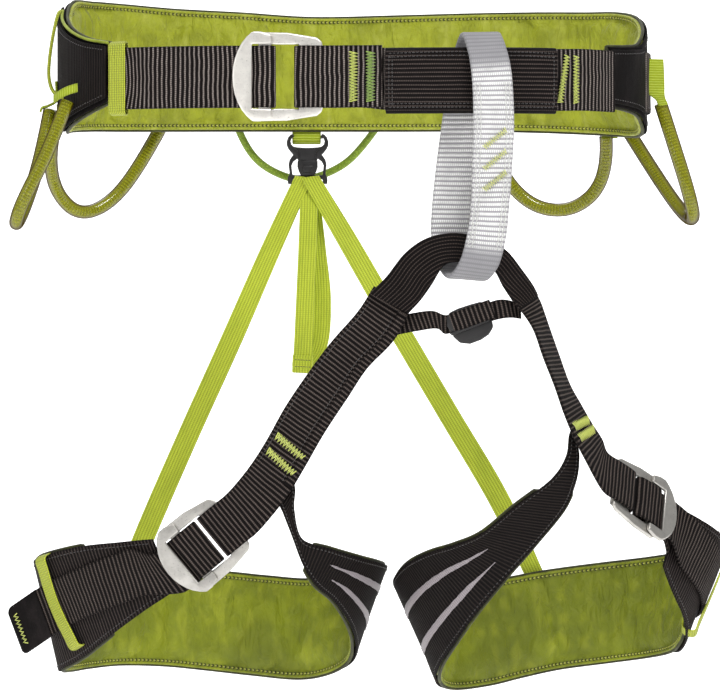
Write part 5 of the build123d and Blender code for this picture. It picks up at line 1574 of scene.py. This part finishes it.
# ---- leg loops ------------------------------------------------------------------------
SIDES = {"right": (STRAP_R, LEG_R, -1.0, 2.35, 2.52, (-11.0, -95.5, -195.0)), "left": (STRAP_L, LEG_L, 1.0, 1.85, 2.22, (127.0, -95.0, -191.0))}
leg_store = {}
for side, (STRAP, LEG, out, cut_a, cut_b, hinge) in SIDES.items():
    n = len(LEG) - 1
    pre = side + "_leg_"
    body = side + "_leg_loop"
    # front strap in one piece, from the strap table round the buckle
    if side == "right":
        turn = over_buckle(side, [(38, 4.2), (27, 2.9), (14.8, 2.9), (12.4, 2.4), (11.4, 0.0), (12.4, -2.4), (14.8, -2.9), (27, -2.9)], flip=True)
    else:
        turn = over_buckle(side, [(40, 2.6), (27, 2.9), (14.8, 2.9), (12.4, 2.4), (11.4, 0.0), (12.4, -2.4), (14.8, -2.9), (27, -2.9)], flip=True)
    lead_in = [] if side == "right" else [(101.6, -108.0, -151.7, 114.9, -96.0, -141.9), (105.0, -109.0, -156.5, 117.8, -92.0, -148.0)]
    strap = Band(lead_in + list(STRAP) + turn, step=1.3)
    sm = band_mesh(pre + "front_strap", strap, WEB_T, m_web_leg, cols=14, disp=lambda S, x, W, sd: 0.10 * vnoise(S / 22, x / 11, 51))
    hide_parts(pre + "strap", pre + "strap_upper")
    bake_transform(sm)

    if side == "right":
        # the webbing's folded edge, sewn down along the strap
        sd = facing(strap, strap.row(3), (0, -1, 0))
        ss = np.linspace(strap.row(0.3), strap.row(5.7), 70)
        rows = [np.concatenate([strap.at(a, 1 - 6.8 / strap.width(a), sd * (WEB_T / 2 + 0.5)), strap.at(a, 1.0, sd * (WEB_T / 2 + 0.5))]) for a in ss]
        fold = direct(rows)
        fm = band_mesh(pre + "strap_edge_fold", fold, 1.1, m_web_leg, cols=6)
        items = run(strap, 0, strap.row(0.5), strap.row(5.7), WEB_T / 2 + 0.15, 2.6, 1.8, dist=-8.2, side=sd) + run(strap, 0, strap.row(0.5), strap.row(5.7), WEB_T / 2 + 0.15, 2.6, 1.8, dist=3.0, side=sd)
        for ob, sl in ((fm, "black_webbing"), (threads(pre + "strap_edge_stitches", items, m_thread_dark, width=0.7, height=0.45), "lime_thread")):
            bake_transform(ob)
    full = from_table(LEG, 0, n, 20)
    so = out * (LEG_PAD_T / 2 + GAP + SHELL_T / 2)
    mid = int(2 * n * 0.44)
    pad = from_table(LEG, 2.5, n - 2.0, 20)
    lining = -int(out)

    def lumps(S, x, W):
        # the foam's perforations show as soft lumps in rows
        mask = smooth(np.minimum(x, W - x), 6.0, 14.0)
        return 0.42 * mask * np.sin(2 * np.pi * S / 12.5 + 1.2 * np.sin(x / 9.0)) * np.cos(2 * np.pi * (x - W / 2) / 27.0)

    pm = pad_mesh(pre + "padded_lining", pad, LEG_PAD_T, m_leg_lining_shaded, lining, cols=([0.0, 0.7, 1.4, 2.2, 3.0, 3.9, 5.2, 7.0, 9.2], 14), amp=0.75, seed=13 if side == "right" else 29, quilt=lumps)
    put(pm, body, "lime_lining", pre + "pad")
    put(piping(pre + "edge_piping", pad, m_piping, 1.15, h=out * 1.0), body, "black_fabric")
    seam_on(pre + "lining_stitches", pad, body, side=lining)

    # inner shell, from the front strap to under the seat
    extra = (-47.0, -79.6, -258.0, -57.0, -79.6, -272.0) if side == "right" else (143.0, -96.0, -227.0, 146.5, -90.0, -228.0)
    lead = from_table([extra] + list(LEG), 0, (mid - 1) / 2.0 + 1, 20)
    lead.where = lead.where - 1
    ramp = np.interp(lead.where, [0, 0.5, 1.0, 1.5, 2.0, 2.5], [0.0, 0.15, 0.4, 0.7, 0.9, 1.0]) * so
    k = lead.n * ramp[:, None]
    lead2 = direct(np.concatenate([lead.a + k, lead.b + k], axis=1))
    lead2.where = lead.where
    band_part(pre + "inner_shell_fabric", lead2, SHELL_T, m_inner, body, "black_fabric", pre + "inner_shell", cols=16)
    items = []
    for d in (2.4, -2.4):
        for sd in (1, -1):
            items += run(lead2, 0, 4, lead2.length - 4, 0.75, 2.6, 1.8, dist=d, side=sd)
    threads_on(pre + "inner_shell_stitches", items, m_thread_dark, body, width=0.7, height=0.4)
    # woven reflective darts on the inside of the thigh
    for q, marks in enumerate((((75, 0.38), (120, 0.33), (168, 0.27)), ((83, 0.67), (120, 0.68), (166, 0.66))) if side == "right" else (((110, 0.38), (144.6, 0.34), (184.5, 0.33), (lead2.length - 1, 0.33)), ((117, 0.67), (151.5, 0.71), (lead2.length - 1, 0.72)))):
        ss = np.linspace(marks[0][0], marks[-1][0], 46)
        ff = np.interp(ss, [m[0] for m in marks], [m[1] for m in marks])
        hw = np.interp(ss, [ss[0], ss[0] + 26, ss[-1]], [0.3, 1.7, 2.7]) + 0.22 * vnoise(ss / 3.0, 0 * ss, 91 + q)
        hh = out * (SHELL_T / 2 + 0.32)
        rows = [np.concatenate([lead2.at(a, b - c / lead2.width(a), hh), lead2.at(a, b + c / lead2.width(a), hh)]) for a, b, c in zip(ss, ff, hw)]
        band_part(pre + "reflective_dart_%d" % (q + 1), direct(rows), 0.5, m_reflect, body, "black_fabric", cols=4)
    # outer shell, round the back and the outside of the thigh
    rest = from_table(LEG, mid / 2.0, n, 20)
    ramp = np.interp(rest.where, [n - 1.5, n - 0.9, n - 0.45, n], [1.0, 0.66, 0.54, 0.50]) * so
    k = rest.n * ramp[:, None]
    where = rest.where
    grow = np.interp(where, [n - 5.0, n - 3.2, n - 1.5, n], [0.0, 5.0, 7.0, 5.0] if side == "left" else [0.0, 0.0, 0.0, 0.0])
    rest = direct(np.concatenate([rest.a + k, rest.b + k + rest.w * grow[:, None]], axis=1))
    rest.where = where
    band_part(pre + "outer_shell_fabric", rest, SHELL_T, m_ribbed, body, "black_fabric", pre + "outer_shell", cols=18,
              disp=lambda S, x, W, sd: 0.2 * vnoise(S / 15, x / 18, 61) * smooth(np.minimum(x, W - x), 1, 8))
    items = []
    for d in (3.0, -3.0):
        items += run(rest, 0, 4, rest.length - 4, 0.8, 2.6, 1.8, dist=d, side=int(out))
    threads_on(pre + "outer_shell_stitches", items, m_thread_dark, body, width=0.7, height=0.4)

    # adjusting webbing and its tail
    flip = side == "right"
    start = narrowed(sample(LEG, n - 1.15, n - 0.45, 2), LEG_WEB_W)
    wrap = over_buckle(side, [(-26, -3.2), (-5.2, -3.2), (2.5, -3.0), (6.2, -1.6), (7.2, 0.2), (5.8, 2.0), (1.5, 2.9), (-5.2, 2.9), (-12.5, 2.9), (-15.3, 0.5), (-19, 0.1), (-29, 0.6)], flip=flip)
    back = narrowed(sample(LEG, n - 0.8, n - (3.2 if side == "right" else 3.75), 7), LEG_WEB_W, 0.46)
    back = moved(back, -out * (LEG_PAD_T / 2 + 2 * GAP + SHELL_T + 1.6))
    last = back[-1]
    step = sub(mul(add(back[-1][:3], back[-1][3:]), 0.5), mul(add(back[-2][:3], back[-2][3:]), 0.5))
    step = unit((step[0], step[1] * 0.35, step[2] - 1.0))
    if side == "left":
        q = sub(mul(add(back[-1][:3], back[-1][3:]), 0.5), mul(add(back[-2][:3], back[-2][3:]), 0.5))
        step = unit(add(unit(q), (-0.35, 0.25, 0.0)))
    back += [tuple(add(last[:3], step, d)) + tuple(add(last[3:], step, d)) for d in ((9.0, 19.0) if side == "right" else (6.0, 12.0))]
    web = Band(start + wrap + back, step=1.3)
    band_part(pre + "adjusting_web", web, WEB_T, m_web_leg, body, "black_webbing", pre + "adjust_webbing", cols=14,
              disp=lambda S, x, W, sd: 0.10 * vnoise(S / 22, x / 11, 71))
    tt = [tuple(add(last[:3], step, d)) + tuple(add(last[3:], step, d)) for d in ((8.0, 16.0, 25.0, 33.0) if side == "right" else (3.0, 9.0, 15.0, 21.0))]
    te = Band(narrowed(tt, LEG_WEB_W + 0.8), step=1.0)
    tw = te.w_len.copy()
    trim = np.interp(te.s, [0, te.length - 3.0, te.length - 1.2, te.length], [0, 0, 0.5, 2.2])
    te = direct(np.concatenate([te.a + te.w * trim[:, None], te.b - te.w * trim[:, None]], axis=1))
    band_part(pre + "tail_stop", te, 3.2, m_smooth, body, "black_webbing", pre + "tail_end", cols=12, edge=1.5)
    sd = facing(te, 5.0, (0, -1, 0)) if side == "right" else facing(te, 5.0, (1, -1, 0))
    ta = []
    for f0, f1 in ((0.18, 0.82),):
        s_t = te.length * 0.80
        ta.append(tack("z", te.at(s_t, f0, 1.55 * sd), te.at(s_t, f1, 1.55 * sd), te.normal(s_t) * sd, 3.0, pitch=2.6, radius=0.36, pale=False))
    put(join(pre + "tail_zigzag", ta), body, "lime_thread")

    # keeper: an elastic loop round shell and webbing
    k0 = n - 3.05
    kband = from_table(LEG, k0, k0 + 0.3, 60)
    h_front = LEG_PAD_T / 2 + 2 * GAP + SHELL_T + 3.9
    h_back = LEG_PAD_T / 2 + 0.9
    loop = []
    s_a, s_b = 0.0, kband.length

    def krow(f, h, kband=kband, s_a=s_a, s_b=s_b, out=out):
        bow = -4.2 * math.sin(math.pi * min(max(f, 0.0), 0.9) / 0.9) * (1.0 if h > 0 else 0.3)
        d = kband.along(0.5 * (s_a + s_b)) * bow
        return tuple(kband.at(s_a, f, out * h) + d) + tuple(kband.at(s_b, f, out * h) + d)

    f_end = 0.88 if side == "right" else 1.03
    for f in np.linspace(0.02, f_end, 9):
        loop.append(krow(f, h_front))
    loop.append(krow(f_end + 0.025, (h_front * 0.62)))
    loop.append(krow(f_end + 0.01, 0.0))
    for f in (0.72, 0.45, 0.18):
        loop.append(krow(f, -(LEG_PAD_T / 2 + 0.7)))
    loop.append(krow(0.02, 0.0))
    loop.append(krow(0.0, (h_front * 0.62)))
    kb2 = Band(loop, closed=True, step=1.2)
    band_part(pre + "keeper_loop", kb2, ELASTIC_T, m_keeper, body, "lime_elastic", pre + "keeper", cols=8)

    # bar tacks on the front strap
    f = Band(list(STRAP), step=1.2)
    tk = []
    for i, (ra, rb) in enumerate(((4.75, 4.75), (5.25, 5.25))):
        s1 = f.row(ra)
        sd = facing(f, s1, (0, -1, 0)) if side == "right" else facing(f, s1, (0.3, -1, 0))
        a = f.at(s1 - 1.0, 0.13, (WEB_T / 2 + 0.1) * sd)
        b = f.at(s1 + 1.0, 0.87, (WEB_T / 2 + 0.1) * sd)
        tk.append(tack("k%d" % i, a, b, f.normal(s1) * sd, 5.4, pitch=2.1, radius=0.50, seed=i))
    put(join(pre + "strap_bar_tacks", tk), body, "lime_thread", pre + "bartacks")
    leg_store[side] = dict(strap=strap, full=full, pad=pad, lead=lead2, rest=rest, web=web, so=so, out=out)

# ---- risers and their buckle --------------------------------------------------------
RISE_R = [(-41.3, 82.6, -64.2, -29.4, 82.6, -65.8), (-44.0, 84.9, -69.5, -31.7, 84.9, -71.6)] + list(RISER_R[1:])
RISE_L = [(-36.6, 80.9, -65.8, -24.7, 80.9, -64.2), (-33.7, 83.2, -71.6, -21.4, 83.2, -69.5)] + list(RISER_L[1:])
for side, rows in (("right", RISE_R), ("left", RISE_L)):
    r = Band(rows, step=2.4)
    rm = band_mesh("riser_%s_elastic" % side, r, RISER_T, m_elastic, cols=8, disp=lambda S, x, W, sd: 0.06 * vnoise(S / 30, x / 5, 81))
    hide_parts("riser_" + side)
    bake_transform(rm)
rt = Band([(-38.2, 88.6, -65.0, -25.9, 88.6, -65.7), (-37.8, 87.0, -71.0, -25.5, 87.0, -71.7), (-38.5, 83.2, -101.2, -26.2, 83.2, -101.2)] + list(RISER_TAIL[2:]), step=1.8)
band_part("riser_tail_elastic", rt, RISER_T, m_elastic, "waist_belt", "lime_elastic", "riser_tail", cols=8)
te = Band([(-42.8, 81.2, -186.8, -28.9, 81.2, -187.5), (-43.1, 81.8, -193.0, -28.9, 81.8, -193.7), (-43.3, 83.0, -198.6, -28.8, 83.0, -199.3)], step=1.0)
band_part("riser_tail_fold", te, 3.2, m_elastic, "waist_belt", "lime_elastic", "riser_tail_end", cols=8, edge=1.4)
threads_on("riser_tail_stitches", across(te, 3.0, 0.1, 0.9, 1.65, 1.9, 1.4, side=1) + across(te, 3.0, 0.1, 0.9, 1.65, 1.9, 1.4, side=-1) + across(te, 7.5, 0.1, 0.9, 1.65, 1.9, 1.4, side=1), m_thread_yel, "waist_belt", width=0.6, height=0.4)
def xz(px, py):
    """From the outline drawn in front view to the buckle's plane."""
    return ((px - 360.0) * 0.6862 + 3.3, (345.0 - py) * 0.6862 - 180.0)


def outline(*pts):
    return [xz(*p) for p in pts]


arm_l = outline((295.5, 152.0), (292.6, 155.8), (289.6, 160.0), (288.6, 165.0), (289.4, 171.0), (289.6, 175.0), (288.2, 176.4), (287.6, 180.0), (288.0, 184.2), (292.2, 184.2), (292.6, 179.4), (301.0, 179.0), (301.0, 175.4), (292.6, 175.4), (292.0, 170.0), (291.6, 165.6), (293.4, 161.8), (297.6, 158.6), (299.4, 154.6))
arm_r = [xz(615.2 - p[0], p[1]) for p in ((295.5, 152.0), (292.6, 155.8), (289.6, 160.0), (288.6, 165.0), (289.4, 171.0), (289.6, 175.0), (288.2, 176.4), (287.6, 180.0), (288.0, 184.2), (292.2, 184.2), (292.6, 179.4), (301.0, 179.0), (301.0, 175.4), (292.6, 175.4), (292.0, 170.0), (291.6, 165.6), (293.4, 161.8), (297.6, 158.6), (299.4, 154.6))]
bar = outline((292.0, 175.2), (323.4, 175.2), (323.4, 179.4), (292.0, 179.4))
ring_l = outline((293.6, 134.0), (290.8, 134.6), (288.2, 137.6), (286.8, 141.6), (286.8, 145.4), (288.4, 149.2), (292.0, 153.6), (296.4, 158.2), (299.8, 158.6), (299.0, 152.4), (294.6, 147.8), (291.4, 144.6), (290.6, 141.4), (291.6, 138.4), (294.2, 137.2))
ring_r = [xz(615.2 - p[0], p[1]) for p in ((293.6, 134.0), (290.8, 134.6), (288.2, 137.6), (286.8, 141.6), (286.8, 145.4), (288.4, 149.2), (292.0, 153.6), (296.4, 158.2), (299.8, 158.6), (299.0, 152.4), (294.6, 147.8), (291.4, 144.6), (290.6, 141.4), (291.6, 138.4), (294.2, 137.2))]
core_top = outline((291.6, 146.2), (297.0, 147.4), (307.6, 148.0), (318.2, 147.4), (323.6, 146.2), (321.0, 152.0), (317.6, 159.4), (316.0, 162.0), (299.2, 162.0), (297.6, 159.4), (294.2, 152.0))
rod = outline((292.0, 135.6), (323.2, 135.6), (323.2, 138.6), (292.0, 138.6))
core_low = outline((297.6, 160.6), (317.6, 160.6), (317.8, 167.0), (316.4, 171.6), (314.0, 176.2), (301.2, 176.2), (298.8, 171.6), (297.4, 167.0))
frame_obj = plate("riser_buckle_frame_shape", [(ring_l, 83.6, 88.4), (ring_r, 83.6, 88.4), (arm_l, 83.9, 88.1), (arm_r, 83.9, 88.1), (bar, 84.2, 87.8), (core_top, 84.4, 87.6), (rod, 88.6, 91.6)], 84.0, 88.0, 0.75, m_plastic, 3)
put(frame_obj, "waist_belt", "black_plastic", "riser_buckle_frame")
latch_obj = plate("riser_buckle_latch_shape", [(core_low, 83.2, 87.4), (outline((302.0, 166.0), (313.2, 166.0), (312.4, 173.0), (302.8, 173.0)), 82.4, 84.0)], 83.2, 87.4, 0.6, m_plastic, 3)
put(latch_obj, "riser_latch", "black_plastic", "riser_buckle_latch")
tab_rows = [(-43.2, 94.2, -14.5, -23.6, 94.2, -14.5), (-43.2, 94.4, -24.0, -23.6, 94.4, -24.0), (-43.2, 93.8, -35.5, -23.6, 93.8, -35.5), (-43.2, 92.8, -39.4, -23.6, 92.8, -39.4), (-43.2, 90.2, -41.4, -23.6, 90.2, -41.4), (-43.2, 87.6, -39.6, -23.6, 87.6, -39.6), (-43.2, 86.6, -35.6, -23.6, 86.6, -35.6), (-43.2, 88.4, -33.4, -23.6, 88.4, -33.4)]
band_part("rear_tab_web", Band(tab_rows, step=1.0), 1.6, m_tab, "waist_belt", "lime_webbing", "rear_tab", cols=10)

# ---- gear loops ------------------------------------------------------------------------
for name, pts in GEAR.items():
    key = name.replace("_tube", "")
    line = quad_curve(pts, 16)
    d = np.linalg.norm(np.diff(line, axis=0), axis=1)
    s = np.concatenate([[0], np.cumsum(d)])
    L = s[-1]
    tube_o = tube_mesh(key + "_sheath", line, TUBE_R, m_tube, sides=20, caps=False)
    put(tube_o, key, "olive_tube", name)
    # the webbing inside shows through: oval in the loop, a round core here, with its cover yarn as raised coils
    fine = np.array([[np.interp(x, s, line[:, i]) for i in range(3)] for x in np.linspace(0, L, int(L / 0.75))])
    rad = 3.35 + 0.14 * np.sin(np.arange(len(fine)) * 0.75 * 2 * math.pi / 2.6)
    core = tube_mesh(key + "_core", fine, rad, m_core, sides=12)
    att = core.data.attributes.new("edge", "FLOAT", "POINT")
    att.data.foreach_set("value", np.full(len(core.data.vertices), 3.0, np.float32))
    put(core, key, "lime_webbing")

tabs_replaced = []
belt_fine = sample(belt_rows, 0, NB, 2 * NB)
for name, pts in GEAR.items():
    for p in (pts[0], pts[-1]):
        best = min(belt_fine, key=lambda r: (r[0] - p[0]) ** 2 + (r[1] - p[1]) ** 2)
        i = belt_fine.index(best)
        t = unit((belt_fine[min(i + 1, len(belt_fine) - 1)][0] - belt_fine[max(i - 1, 0)][0], belt_fine[min(i + 1, len(belt_fine) - 1)][1] - belt_fine[max(i - 1, 0)][1], 0))
        o = (-t[1], t[0], 0)
        c = add(p, (0, 0, TUBE_R + 0.8 + 6.5))
        d = dot(sub(c, (best[0], best[1], 0)), o)
        c = add(c, o, -d + 8.9 if d > 0 else -d - 8.9)
        o = o if d > 0 else mul(o, -1)
        key = "gear_loop_tabs_right" if p[0] < 0 else "gear_loop_tabs_left"
        # a short webbing folded over the loop's end and sewn to the belt
        w = 5.4
        prof = [(0.9, 7.4), (0.5, 0.0), (0.2, -5.0)]
        rows = [add(add(add(c, t, -w), o, h - 0.6), (0, 0, 1), z) + add(add(add(c, t, w), o, h - 0.6), (0, 0, 1), z) for h, z in prof]
        end = add(p, (0, 0, 2.7))
        rows.append(add(add(end, t, -w), o, 2.0) + add(add(end, t, w), o, 2.0))
        for out, up in ((4.2, -0.5), (5.7, -1.6), (6.2, -3.6)):
            rows.append(add(add(add(end, t, -w), o, out), (0, 0, 1), up) + add(add(add(end, t, w), o, out), (0, 0, 1), up))
        if name == "gear_loop_front_left_tube" and p is pts[0]:
            rows = [(192.6, -13.5, 9.8, 205.0, -8.5, 9.8), (193.0, -14.0, 2.0, 205.4, -10.0, 2.0), (193.6, -14.6, -7.0, 205.6, -11.6, -7.0), (194.6, -14.4, -13.5, 205.6, -12.4, -13.5), (199.4, -12.6, -17.2, 206.2, -12.0, -16.2), (201.2, -11.4, -21.0, 208.0, -11.0, -20.2)]
        if name == "gear_loop_front_right_tube" and p is pts[0]:
            rows = [(-181.6, -54.5, -8.6, -181.6, -53.5, -14.4), (-188.0, -54.5, -10.4, -188.0, -53.5, -16.4), (-193.6, -51.6, -13.0, -193.6, -50.8, -19.0), (-197.4, -47.0, -15.6, -197.4, -46.4, -21.6)]
        # sewn to the belt above, its fold follows the loop's end
        b = Band(rows, step=1.0)
        loop_body = name.replace("_tube", "")
        tm = band_mesh("%s_tab_%d" % (loop_body, 1 if p is pts[0] else 2), b, 1.5, m_tab, cols=6)
        # the stretch next to the loop's end, as fractions of the tab's length: its points are taken but not used, and
        # the whole tab stays fixed
        part = (0.48, 0.76)
        if p is pts[0] and name == "gear_loop_front_left_tube":
            part = (0.58, 0.88)
        if p is pts[0] and name == "gear_loop_front_right_tube":
            part = (0.20, 0.97)
        tuple(b.at(b.length * part[0], 0.5) / 1000)
        tuple(b.at(b.length * part[1], 0.5) / 1000)
        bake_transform(tm)
        if key not in tabs_replaced:
            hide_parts(key)
            tabs_replaced.append(key)

# ---- haul loop: a short cord, sewn in at both ends -----------------------------------
cu = bpy.data.curves.new("haul_cord", "CURVE")
cu.dimensions = "3D"
sp = cu.splines.new("NURBS")
sp.points.add(len(HAUL) - 1)
for pt, q in zip(sp.points, HAUL):
    pt.co = (q[0] / 1000, q[1] / 1000, q[2] / 1000, 1.0)
sp.order_u = 3
sp.use_endpoint_u = True
sp.resolution_u = 14
cu.bevel_depth = HAUL_R / 1000
cu.bevel_resolution = 5
cu.use_fill_caps = True
haul = bpy.data.objects.new("haul_cord", cu)
bpy.context.scene.collection.objects.link(haul)
k_cord = Mat("haul_cord_braid", srgb(132, 164, 30), 0.6, Sheen_Weight=0.25, Sheen_Roughness=0.4)
_p = k_cord.obj()
_w1 = k_cord.noise(_p, 900.0, 2.0)
_v1 = k_cord.voronoi(k_cord.scaled(_p, 1.0), 760.0)
_col = k_cord.mix(k_cord.range(_v1, 0.15, 0.6, 0.0, 0.6), srgb(148, 176, 42), srgb(84, 108, 12))
m_haul = k_cord.done(_col, k_cord.range(_w1, 0.3, 0.7, 0.5, 0.7), k_cord.bump(_v1, 0.0004))
haul.data.materials.append(m_haul)
put(haul, "haul_loop", "lime_webbing", "haul_loop")

# ---- stage: pale floor and a far wall in one sweep --------------------------------------
m_stage = Mat("pale_stage", (0.93, 0.93, 0.93), 0.9, Emission_Color=(1.0, 1.0, 1.0, 1.0), Emission_Strength=0.60).m
prof = [(-4.0, -0.46), (3.9, -0.46)]
for i in range(1, 13):
    a = math.radians(90 * i / 12)
    prof.append((3.9 + 1.2 * math.sin(a), -0.46 + 1.2 * (1 - math.cos(a))))
prof.append((5.1, 5.0))
sv, sf = [], []
for y, z in prof:
    sv += [(-5.0, y, z), (5.0, y, z)]
for i in range(len(prof) - 1):
    sf.append((2 * i, 2 * i + 1, 2 * i + 3, 2 * i + 2))
me = bpy.data.meshes.new("stage")
me.from_pydata(sv, [], sf)
me.polygons.foreach_set("use_smooth", [True] * len(me.polygons))
me.update()
stage = link("stage", me, m_stage)

# ---- soft studio light ---------------------------------------------------------------------
world = bpy.data.worlds.new("studio")
bpy.context.scene.world = world
world.use_nodes = True
bg = world.node_tree.nodes["Background"]
bg.inputs["Color"].default_value = (1.0, 1.0, 1.0, 1.0)
bg.inputs["Strength"].default_value = 0.34


def area(name, loc, target, size, power, size_y=None):
    ld = bpy.data.lights.new(name, "AREA")
    ld.energy = power
    ld.size = size
    if size_y:
        ld.shape = "RECTANGLE"
        ld.size_y = size_y
    ob = bpy.data.objects.new(name, ld)
    ob.location = loc
    ob.rotation_euler = (Vector(target) - Vector(loc)).to_track_quat("-Z", "Y").to_euler()
    bpy.context.scene.collection.objects.link(ob)
    return ob


area("key_soft", (0.55, -1.25, 1.55), (0, -0.05, -0.06), 0.7, 31.0)
area("fill_soft", (-1.5, -1.9, 0.5), (0, 0, -0.2), 1.2, 11.0)
area("rim_soft", (-0.5, 1.0, 1.4), (0, 0, -0.1), 1.0, 9.0)
area("wall_light", (0.0, 2.4, 2.4), (0, 4.9, 0.2), 2.4, 60.0)

bpy.context.scene.view_settings.view_transform = "Standard"
bpy.context.scene.view_settings.look = "None"
